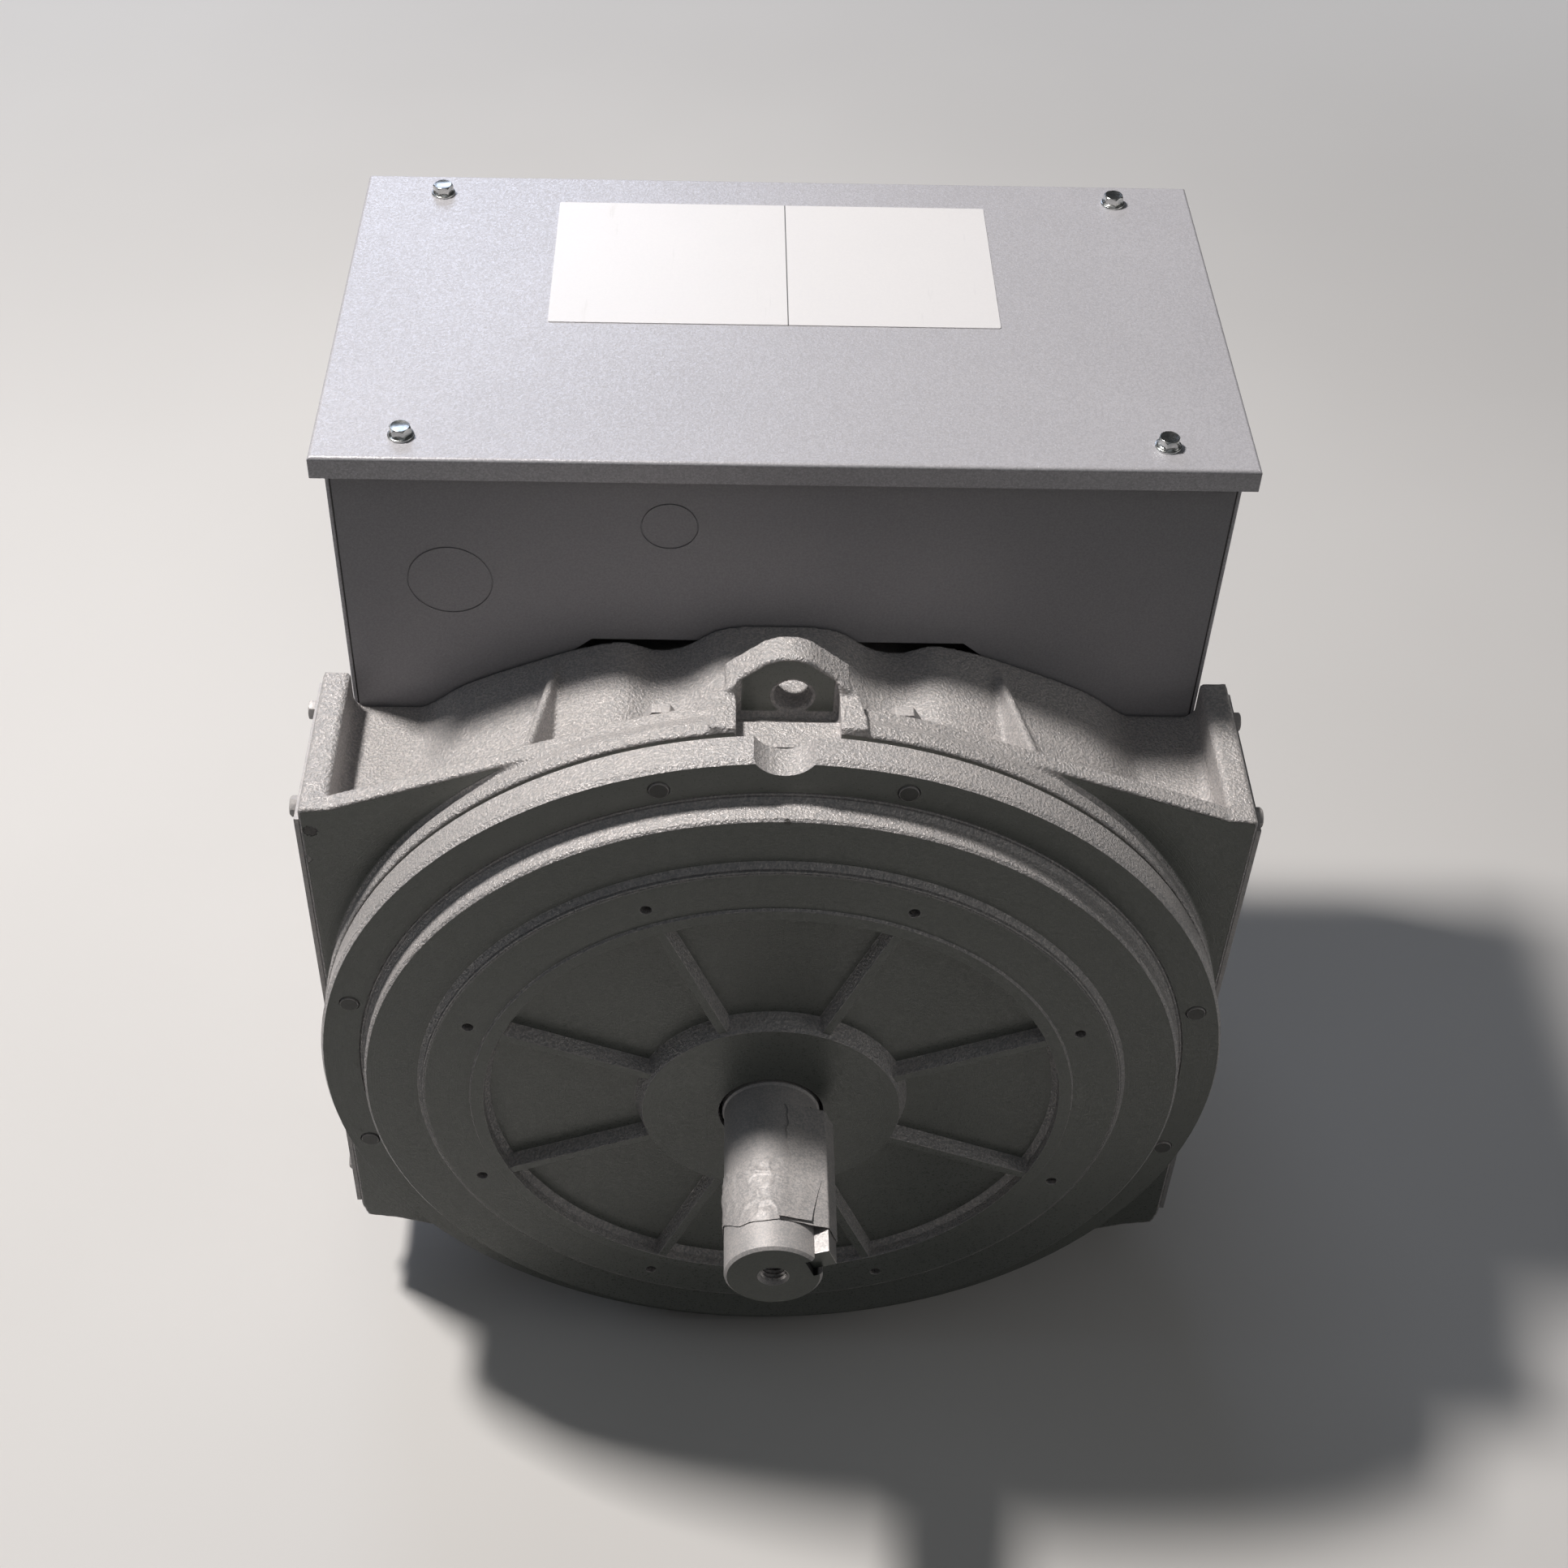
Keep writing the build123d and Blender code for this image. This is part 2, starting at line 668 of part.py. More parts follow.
tail_bearing_y = frame_rear_y + 8
with BuildPart() as tail_bearing:
    with BuildSketch(face_plane(tail_bearing_y)):
        Circle(tail_bearing_radius)
        Circle(tail_journal_radius + running_gap, mode=Mode.SUBTRACT)
    extrude(amount=-tail_bearing_width)
tail_bearing.part.label = "tail_bearing"
export_step(tail_bearing.part, "parts/tail_bearing.step")

# Air inlet cover: a flanged sheet drum with a slotted plate welded into its end
with BuildPart() as inlet_cover:
    with BuildSketch(face_plane(tail_rear_y)):
        Circle(frame_radius - 3)
        Circle(cover_radius - sheet, mode=Mode.SUBTRACT)
    extrude(amount=-sheet)
    with BuildSketch(face_plane(tail_rear_y)):
        Circle(cover_radius)
        Circle(cover_radius - sheet, mode=Mode.SUBTRACT)
    extrude(amount=-cover_length)
    with BuildSketch(face_plane(tail_rear_y - 1)):
        with PolarLocations(frame_radius - cover_screw_inset, 8, start_angle=22.5):
            Circle(cover_screw_radius + bolt_clearance)
    extrude(amount=-(sheet + 2), mode=Mode.SUBTRACT)
inlet_cover.part.label = "inlet_cover"
export_step(inlet_cover.part, "parts/inlet_cover.step")

grille_slot_length = 70.0
grille_slot_width = 9.0
with BuildPart() as inlet_grille:
    with BuildSketch(face_plane(tail_rear_y + cover_length - sheet)):
        Circle(cover_radius - sheet)
        with PolarLocations(cover_radius - 60, 12):
            SlotOverall(grille_slot_length, grille_slot_width, mode=Mode.SUBTRACT)
    extrude(amount=-sheet)
inlet_grille.part.label = "inlet_grille"
export_step(inlet_grille.part, "parts/inlet_grille.step")

with BuildPart() as inlet_cover_screws:
    with BuildSketch(face_plane(tail_rear_y + sheet + 5)):
        with PolarLocations(frame_radius - cover_screw_inset, 8, start_angle=22.5):
            RegularPolygon(radius=screw_head_radius, side_count=6)
    extrude(amount=5)
    with BuildSketch(face_plane(tail_rear_y + sheet)):
        with PolarLocations(frame_radius - cover_screw_inset, 8, start_angle=22.5):
            Circle(cover_screw_radius)
    extrude(amount=sheet)
inlet_cover_screws.part.label = "inlet_cover_screws"
export_step(inlet_cover_screws.part, "parts/inlet_cover_screws.step")

# Terminal box: two floor plates on the barrel's shoulders
barrel_half_chord = sqrt(frame_radius**2 - box_floor_rise**2)
box_floor_inner_x = barrel_half_chord - 24.0
box_mid_y = (box_front_y + box_rear_y) / 2
with BuildPart() as box_floor_right:
    with Locations(((box_floor_inner_x + box_half_width - sheet) / 2, box_mid_y, box_floor_z + sheet / 2)):
        Box(box_half_width - sheet - box_floor_inner_x, box_depth - 2 * sheet, sheet)
    with BuildSketch(face_plane(bracket_rear_y)):
        Circle(frame_radius)
    extrude(amount=-frame_length, mode=Mode.SUBTRACT)
box_floor_right.part.label = "box_floor_right"
export_step(box_floor_right.part, "parts/box_floor_right.step")

with BuildPart() as box_floor_left:
    add(mirror(box_floor_right.part, about=Plane.YZ))
box_floor_left.part.label = "box_floor_left"
export_step(box_floor_left.part, "parts/box_floor_left.step")

# Front and rear panels, cut out over the barrel, with a flange under the lid
wall_top_z = lid_top_z - sheet
wall_height = wall_top_z - box_floor_z
panel_cut_half = barrel_half_chord + 10.0
panel_cut_top = frame_radius + 8.0
panel_cut = mirrored(
    [(0, panel_cut_top), (panel_cut_half - 34, panel_cut_top), (panel_cut_half - 22, panel_cut_top - 10)]
    + [(panel_cut_half, box_floor_rise - 1)]
)
panel_corner = 8.0
knockouts = [((-173, lid_rise - 84), 22.5), ((-58, lid_rise - 46), 15.0)]
with BuildPart() as box_front_panel:
    with BuildSketch(face_plane(box_front_y)):
        with Locations((0, box_floor_z - shaft_height + wall_height / 2)):
            Rectangle(2 * (box_half_width - sheet), wall_height)
        with BuildLine():
            Polyline(*panel_cut, close=True)
        make_face(mode=Mode.SUBTRACT)
    extrude(amount=-sheet)
    with Locations((0, box_front_y + flange_width / 2, wall_top_z - sheet / 2)):
        Box(2 * (box_half_width - sheet), flange_width, sheet)
    # Rings of the two knock-outs
    with BuildSketch(face_plane(box_front_y)):
        for centre, radius in knockouts:
            with Locations(centre):
                Circle(radius)
                Circle(radius - 0.8, mode=Mode.SUBTRACT)
    extrude(amount=-0.7, mode=Mode.SUBTRACT)
    with BuildSketch(Plane.XY.offset(wall_top_z + 1)):
        for x in (-lid_bolt_x, lid_bolt_x):
            with Locations((x, box_front_y + lid_bolt_inset)):
                Circle(lid_hole_radius)
    extrude(amount=-(sheet + 2), mode=Mode.SUBTRACT)
box_front_panel.part.label = "box_front_panel"
export_step(box_front_panel.part, "parts/box_front_panel.step")

with BuildPart() as box_rear_panel:
    with BuildSketch(face_plane(box_rear_y - sheet)):
        with Locations((0, box_floor_z - shaft_height + wall_height / 2)):
            Rectangle(2 * (box_half_width - sheet), wall_height)
        with BuildLine():
            Polyline(*panel_cut, close=True)
        make_face(mode=Mode.SUBTRACT)
    extrude(amount=-sheet)
    with Locations((0, box_rear_y - flange_width / 2, wall_top_z - sheet / 2)):
        Box(2 * (box_half_width - sheet), flange_width, sheet)
    with BuildSketch(Plane.XY.offset(wall_top_z + 1)):
        for x in (-lid_bolt_x, lid_bolt_x):
            with Locations((x, box_rear_y - lid_bolt_inset)):
                Circle(lid_hole_radius)
    extrude(amount=-(sheet + 2), mode=Mode.SUBTRACT)
box_rear_panel.part.label = "box_rear_panel"
export_step(box_rear_panel.part, "parts/box_rear_panel.step")

with BuildPart() as box_side_right:
    with Locations((box_half_width - sheet / 2, box_mid_y, box_floor_z + wall_height / 2)):
        Box(sheet, box_depth, wall_height)
box_side_right.part.label = "box_side_right"
export_step(box_side_right.part, "parts/box_side_right.step")

with BuildPart() as box_side_left:
    add(mirror(box_side_right.part, about=Plane.YZ))
box_side_left.part.label = "box_side_left"
export_step(box_side_left.part, "parts/box_side_left.step")

# Folded lid with a skirt
lid_front_y = box_front_y - lid_overhang
lid_rear_y = box_rear_y + lid_overhang
lid_mid_y = (lid_front_y + lid_rear_y) / 2
lid_length = lid_rear_y - lid_front_y
lid_bolt_y = (box_front_y + lid_bolt_inset, box_rear_y - lid_bolt_inset)
with BuildPart() as box_lid:
    with Locations((0, lid_mid_y, lid_top_z - (lid_skirt + sheet) / 2)):
        Box(2 * lid_half_width, lid_length, lid_skirt + sheet)
    fillet(box_lid.faces().sort_by(Axis.Z)[-1].edges(), radius=lid_bend)
    with Locations((0, lid_mid_y, lid_top_z - sheet - (lid_skirt + 1) / 2)):
        Box(
            2 * (lid_half_width - sheet),
            lid_length - 2 * sheet,
            lid_skirt + 1,
            mode=Mode.SUBTRACT,
        )
    with BuildSketch(Plane.XY.offset(lid_top_z + 1)):
        with Locations(*[(x, y) for x in (-lid_bolt_x, lid_bolt_x) for y in lid_bolt_y]):
            Circle(lid_hole_radius)
    extrude(amount=-(sheet + 2), mode=Mode.SUBTRACT)
box_lid.part.label = "box_lid"
export_step(box_lid.part, "parts/box_lid.step")

# Lid bolts: a washer, a flanged hexagon head and a shank
with BuildPart() as lid_bolts:
    for x in (-lid_bolt_x, lid_bolt_x):
        for y in lid_bolt_y:
            with BuildSketch(Plane(origin=(x, y, lid_top_z))):
                Circle(lid_bolt_radius + 3)
            extrude(amount=1.6)
            with BuildSketch(Plane(origin=(x, y, lid_top_z))):
                RegularPolygon(radius=lid_bolt_radius + 1.6, side_count=6)
            extrude(amount=6.2)
            with BuildSketch(Plane(origin=(x, y, lid_top_z))):
                Circle(lid_bolt_radius)
            extrude(amount=-14)
lid_bolts.part.label = "lid_bolts"
export_step(lid_bolts.part, "parts/lid_bolts.step")

# Blank label on the lid
with BuildPart() as lid_label:
    with Locations((label_offset_x, lid_mid_y + label_offset_y, lid_top_z + label_thickness / 2)):
        Box(label_width, label_depth, label_thickness)
lid_label.part.label = "lid_label"
export_step(lid_label.part, "parts/lid_label.step")

# Shaft, stepped, with a keyway and a tapped centre hole
shaft_rear_y = tail_bearing_y + tail_bearing_width + 4
seat_front_y = plate_front_y + 24.0
seat_rear_y = frame_rear_y - 17.0
tip_chamfer = 1.5
key_angle = 21.0
key_width = 12.7
key_height = 12.7
keyway_depth = 5.8
key_length = 84.5
keyway_rear_y = shaft_shoulder_y - 6.0
key_front_y = shaft_tip_y + 4.2
key_rear_y = key_front_y + key_length
centre_hole_radius = 6.7
centre_hole_depth = 36.0
countersink = 1.5
with BuildPart() as shaft:
    with BuildSketch(profile_plane):
        with BuildLine():
            Polyline(
                (shaft_tip_y, 0),
                (shaft_tip_y, shaft_radius - tip_chamfer),
                (shaft_tip_y + tip_chamfer, shaft_radius),
                (shaft_shoulder_y, shaft_radius),
                (shaft_shoulder_y + 1, journal_radius),
                (seat_front_y, journal_radius),
                (seat_front_y, rotor_seat_radius),
                (seat_rear_y, rotor_seat_radius),
                (seat_rear_y, tail_journal_radius),
                (shaft_rear_y, tail_journal_radius),
                (shaft_rear_y, 0),
                close=True,
            )
        make_face()
    revolve(axis=spin_axis)
    # Keyway, open at the tip
    key_frame = Plane(
        origin=(0, shaft_tip_y - 1, shaft_height),
        x_dir=(cos(radians(key_angle)), 0, sin(radians(key_angle))),
        z_dir=(0, -1, 0),
    )
    with BuildSketch(key_frame):
        with Locations((shaft_radius - keyway_depth + 10, 0)):
            Rectangle(20, key_width)
    extrude(amount=-(keyway_rear_y - shaft_tip_y + 1), mode=Mode.SUBTRACT)
    # Tapped centre hole with a countersink
    with BuildSketch(face_plane(shaft_tip_y)):
        Circle(centre_hole_radius)
    extrude(amount=-centre_hole_depth, mode=Mode.SUBTRACT)
    with BuildSketch(profile_plane):
        with BuildLine():
            Polyline(
                (shaft_tip_y - 0.1, 0),
                (shaft_tip_y - 0.1, centre_hole_radius + countersink + 0.1),
                (shaft_tip_y + countersink, centre_hole_radius),
                (shaft_tip_y + countersink, 0),
                close=True,
            )
        make_face()
    revolve(axis=spin_axis, mode=Mode.SUBTRACT)
shaft.part.label = "shaft"
export_step(shaft.part, "parts/shaft.step")

# Key
with BuildPart() as shaft_key:
    key_plane = Plane(
        origin=(0, key_front_y, shaft_height),
        x_dir=(cos(radians(key_angle)), 0, sin(radians(key_angle))),
        z_dir=(0, -1, 0),
    )
    with BuildSketch(key_plane):
        with Locations((shaft_radius - keyway_depth + key_height / 2, 0)):
            Rectangle(key_height, key_width)
    extrude(amount=-(key_rear_y - key_front_y))
shaft_key.part.label = "shaft_key"
export_step(shaft_key.part, "parts/shaft_key.step")

# Masking tape: a sleeve round the shaft and a cover drawn over the whole key
tape_front_y = key_front_y + 13.0
sleeve_rear_y = tape_front_y + 38.0
tape_rear_y = key_rear_y - 2.0
tape_sheet = 0.8
tape_gap = 0.3
key_top = shaft_radius - keyway_depth + key_height
tape_radius = shaft_radius + tape_gap + tape_sheet
tape_corner_x = key_top + tape_gap + tape_sheet
tape_corner_z = key_width / 2 + tape_gap + tape_sheet
tangent_angle = atan2(tape_corner_z, tape_corner_x) + acos(tape_radius / hypot(tape_corner_x, tape_corner_z))
tape_foot_x = tape_radius * cos(tangent_angle)
tape_foot_z = tape_radius * sin(tangent_angle)
tape_outline = (
    (tape_corner_x, tape_corner_z),
    (tape_foot_x, tape_foot_z),
    (tape_foot_x, -tape_foot_z),
    (tape_corner_x, -tape_corner_z),
)
with BuildPart() as masking_tape:
    tape_plane = Plane(
        origin=(0, tape_front_y, shaft_height),
        x_dir=(cos(radians(key_angle)), 0, sin(radians(key_angle))),
        z_dir=(0, -1, 0),
    )
    # Straight runs of tape from the key's corners down to the shaft
    with BuildSketch(tape_plane):
        with BuildLine():
            Polyline(*tape_outline, close=True)
        make_face()
    extrude(amount=-(tape_rear_y - tape_front_y))
    with BuildSketch(tape_plane):
        Circle(tape_radius)
    extrude(amount=-(sleeve_rear_y - tape_front_y))
    # Room for the shaft and the key
    with BuildSketch(tape_plane):
        Circle(shaft_radius + tape_gap)
        with Locations(((key_top + tape_foot_x) / 2, 0)):
            Rectangle(key_top - tape_foot_x + 2 * tape_gap, key_width + 2 * tape_gap)
    extrude(amount=-(tape_rear_y - tape_front_y), mode=Mode.SUBTRACT)
masking_tape.part.label = "masking_tape"
export_step(masking_tape.part, "parts/masking_tape.step")

# Fan: a hub, a back plate and sixteen blades
fan_front_y = plate_front_y + 30.0
fan_rear_y = fan_front_y + 52.0
fan_clearance = 32.0
fan_radius = bracket_bore_radius - fan_clearance
fan_hub_radius = rotor_seat_radius + 18.0
blade_length = 76.0
with BuildPart() as cooling_fan:
    with BuildSketch(face_plane(fan_front_y + 6)):
        Circle(fan_hub_radius)
        Circle(rotor_seat_radius, mode=Mode.SUBTRACT)
    extrude(amount=-(fan_rear_y - fan_front_y - 6))
    with BuildSketch(face_plane(fan_rear_y - 5)):
        Circle(fan_radius)
        Circle(fan_hub_radius - 6, mode=Mode.SUBTRACT)
    extrude(amount=-5)
    with BuildSketch(face_plane(fan_front_y)):
        with PolarLocations(fan_radius - 2 - blade_length / 2, 16):
            Rectangle(blade_length, 5)
    extrude(amount=-(fan_rear_y - fan_front_y - 4))
cooling_fan.part.label = "cooling_fan"
export_step(cooling_fan.part, "parts/cooling_fan.step")

# Four-pole rotor
with BuildPart() as rotor_core:
    with BuildSketch(face_plane(core_front_y - 5)):
        Circle(rotor_radius)
        Circle(rotor_seat_radius, mode=Mode.SUBTRACT)
        with PolarLocations(rotor_radius - 8, 4, start_angle=45):
            Rectangle(20, 26, mode=Mode.SUBTRACT)
    extrude(amount=-(core_length + 10))
rotor_core.part.label = "rotor_core"
export_step(rotor_core.part, "parts/rotor_core.step")
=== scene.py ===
import math
import random

import bpy
from mathutils import Matrix, Vector, noise


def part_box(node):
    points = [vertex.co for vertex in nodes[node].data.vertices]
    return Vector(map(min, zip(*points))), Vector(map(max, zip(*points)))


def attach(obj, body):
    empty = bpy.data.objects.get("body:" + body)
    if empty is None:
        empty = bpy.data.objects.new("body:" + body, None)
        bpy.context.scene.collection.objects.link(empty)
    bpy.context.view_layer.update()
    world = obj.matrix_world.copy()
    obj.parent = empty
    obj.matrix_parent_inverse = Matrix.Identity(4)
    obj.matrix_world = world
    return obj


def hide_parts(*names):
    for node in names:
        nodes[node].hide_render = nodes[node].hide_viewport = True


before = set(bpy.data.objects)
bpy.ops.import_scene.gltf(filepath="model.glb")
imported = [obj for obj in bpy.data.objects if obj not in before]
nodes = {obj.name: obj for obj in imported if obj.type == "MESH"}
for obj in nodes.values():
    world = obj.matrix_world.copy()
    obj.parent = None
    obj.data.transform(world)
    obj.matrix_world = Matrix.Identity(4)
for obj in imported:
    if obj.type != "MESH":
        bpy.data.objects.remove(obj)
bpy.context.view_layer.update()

scene = bpy.context.scene
scene.view_settings.view_transform = "Standard"
shaftZ = 0.25
ringLow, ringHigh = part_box("adaptor_ring")
ringY = ringLow.y  # front face of the adaptor ring
plateY = ringHigh.y  # front face of the bracket's plate
print("stage: frame loaded,", len(nodes), "nodes")

# camera, floor and light
view = {
    "x": -0.0381, "ahead": -0.7603, "z": shaftZ + 1.0047,
    "yaw": 1.088, "pitch": 43.569, "roll": 1.496,
    "lens": 51.83, "shiftX": 0.0299, "shiftY": -0.0489,
}


def makeCamera():
    yaw, pitch, roll = (math.radians(view[k]) for k in ("yaw", "pitch", "roll"))
    ahead = Vector((math.sin(yaw) * math.cos(pitch), math.cos(yaw) * math.cos(pitch), -math.sin(pitch)))
    level = Vector((math.cos(yaw), -math.sin(yaw), 0))
    over = level.cross(ahead)
    right = math.cos(roll) * level + math.sin(roll) * over
    up = math.cos(roll) * over - math.sin(roll) * level
    turn = Matrix((right, up, -ahead)).transposed().to_4x4()
    data = bpy.data.cameras.new("camera")
    data.lens = view["lens"]
    data.sensor_width = 36
    data.shift_x = view["shiftX"]
    data.shift_y = view["shiftY"]
    data.clip_start = 0.05
    data.clip_end = 50
    camera = bpy.data.objects.new("camera", data)
    camera.matrix_world = Matrix.Translation((view["x"], ringY + view["ahead"], view["z"])) @ turn
    scene.collection.objects.link(camera)
    scene.camera = camera


lamps = {
    "overhead": {
        "place": (-0.98, 0.27, 2.50), "aim": (0, -0.1, 0.4),
        "size": 0.28, "power": 70, "colour": (1.0, 0.955, 0.92),
    },
    "windowLeft": {
        "place": (-2.6, -0.2, 1.75), "aim": (0, -0.2, 0.4),
        "size": 0.9, "power": 4, "colour": (0.78, 0.87, 1.0),
    },
    "windowBehind": {
        "place": (-0.75, 3.1, 2.15), "aim": (0, 0.0, 0.5),
        "size": 1.3, "power": 18, "colour": (0.68, 0.78, 1.0),
    },
    "frontFill": {
        "place": (1.2, -2.8, 1.6), "aim": (0, -0.1, 0.3),
        "size": 2.0, "power": 0.6, "colour": (1.0, 0.98, 0.95),
    },
    "ceilingFront": {
        "place": (0.2, -1.1, 2.7), "aim": (0, -0.3, 0.3),
        "size": 1.6, "power": 2, "colour": (0.92, 0.96, 1.0),
    },
    "sideFill": {
        "place": (2.9, -0.7, 1.2), "aim": (0.2, 0, 0.3),
        "size": 1.8, "power": 9, "colour": (1.0, 0.98, 0.95),
    },
}


def makeLamps():
    for name, lamp in lamps.items():
        data = bpy.data.lights.new(name, "AREA")
        data.shape = "SQUARE"
        data.size = lamp["size"]
        data.energy = lamp["power"]
        data.color = lamp["colour"]
        light = bpy.data.objects.new(name, data)
        away = Vector(lamp["place"]) - Vector(lamp["aim"])
        light.matrix_world = Matrix.Translation(lamp["place"]) @ away.to_track_quat("Z", "Y").to_matrix().to_4x4()
        scene.collection.objects.link(light)


makeCamera()
makeLamps()


# shader maths
class Wire:
    # one output socket of a finish; sums and products of wires add Math nodes
    def __init__(self, finish, socket):
        self.finish = finish
        self.socket = socket

    def math(self, operation, other=0.0, swapped=False):
        pair = (other, self) if swapped else (self, other)
        return self.finish.add("ShaderNodeMath", {"operation": operation}, {0: pair[0], 1: pair[1]})

    def __add__(self, other):
        return self.math("ADD", other)

    def __sub__(self, other):
        return self.math("SUBTRACT", other)

    def __mul__(self, other):
        return self.math("MULTIPLY", other)

    def __radd__(self, other):
        return self.math("ADD", other)

    def __rsub__(self, other):
        return self.math("SUBTRACT", other, True)

    def span(self, low, high, start=0.0, end=1.0):
        # low..high becomes start..end, held at both ends
        settings = {"interpolation_type": "SMOOTHSTEP"}
        values = {"Value": self, "From Min": low, "From Max": high, "To Min": start, "To Max": end}
        return self.finish.add("ShaderNodeMapRange", settings, values)


class Finish:
    def __init__(self, name, **sockets):
        self.material = bpy.data.materials.new(name)
        self.material.use_nodes = True
        self.tree = self.material.node_tree
        self.shader = self.tree.nodes["Principled BSDF"]
        for key, value in sockets.items():
            self.shader.inputs[key].default_value = value
        self.place = self.add("ShaderNodeTexCoord", output="Object")
        self.facing = self.add("ShaderNodeTexCoord", output="Normal")

    def add(self, kind, settings=None, values=None, output=0):
        node = self.tree.nodes.new(kind)
        for key, value in (settings or {}).items():
            setattr(node, key, value)
        for key, value in (values or {}).items():
            if isinstance(value, Wire):
                self.tree.links.new(value.socket, node.inputs[key])
            else:
                node.inputs[key].default_value = value
        return Wire(self, node.outputs[output])

    def feed(self, socket, wire):
        self.tree.links.new(wire.socket, self.shader.inputs[socket])

    def grain(self, scale, detail=2.0, rough=0.5, stretch=(1, 1, 1), seed=0.0):
        offset = (seed, seed, seed)
        moved = self.add("ShaderNodeMapping", {}, {"Vector": self.place, "Scale": stretch, "Location": offset})
        values = {"Vector": moved, "Scale": scale, "Detail": detail, "Roughness": rough}
        return self.add("ShaderNodeTexNoise", {}, values)

    def cells(self, scale, output="Distance"):
        return self.add("ShaderNodeTexVoronoi", {}, {"Vector": self.place, "Scale": scale}, output)

    def flakes(self, scale):
        # one random level for each flake of metal in the paint
        return self.part(self.cells(scale, "Color"), "X")

    def part(self, vector, axis):
        return self.add("ShaderNodeSeparateXYZ", {}, {0: vector}, axis)

    def awayFrom(self, point):
        return self.add("ShaderNodeVectorMath", {"operation": "DISTANCE"}, {0: self.place, 1: point}, "Value")

    def front(self, low=0.965, high=0.995):
        # 1 on the faces that look straight ahead of the machine, 0 elsewhere
        return (self.part(self.facing, "Y") * -1.0).span(low, high)

    def radius(self):
        x, z = self.part(self.place, "X"), self.part(self.place, "Z") - shaftZ
        return (x * x + z * z).math("SQRT")

    def turned(self, scale):
        # lathe marks: rings around the shaft's axis
        values = {"W": self.radius() * scale, "Scale": 1.0, "Detail": 2.0}
        return self.add("ShaderNodeTexNoise", {"noise_dimensions": "1D"}, values)

    def blend(self, mask, low, high):
        return self.add("ShaderNodeMix", {"data_type": "RGBA"}, {0: mask, 6: low, 7: high}, 2)

    def bump(self, height, strength, distance):
        values = {"Height": height, "Strength": strength, "Distance": distance}
        self.feed("Normal", self.add("ShaderNodeBump", {}, values))


def grey(level, tint=(1, 1, 1)):
    return (level * tint[0], level * tint[1], level * tint[2], 1)


# finishes
# the greenish tint and the low level for faces that look straight ahead paint their shade and a green reflection
paint = {
    "litWarm": (1.0, 0.945, 0.92), "shadeCool": (0.97, 0.955, 0.965), "shadedFront": (0.95, 1.0, 0.91),
    "box": (0.985, 0.975, 1.03), "castLevel": 0.53, "sheetLevel": 0.48, "shadedFrontLevel": 0.20, "metal": 0.18,
    "flakeScale": 1300.0,
}
# the walls of the shaft's keyway, by distance from the axis, painted near black as the deep shade inside it
keywayShade = {"bottom": (0.0095, 0.0115), "top": (0.0222, 0.0242), "colour": (0.018, 0.018, 0.018, 1)}


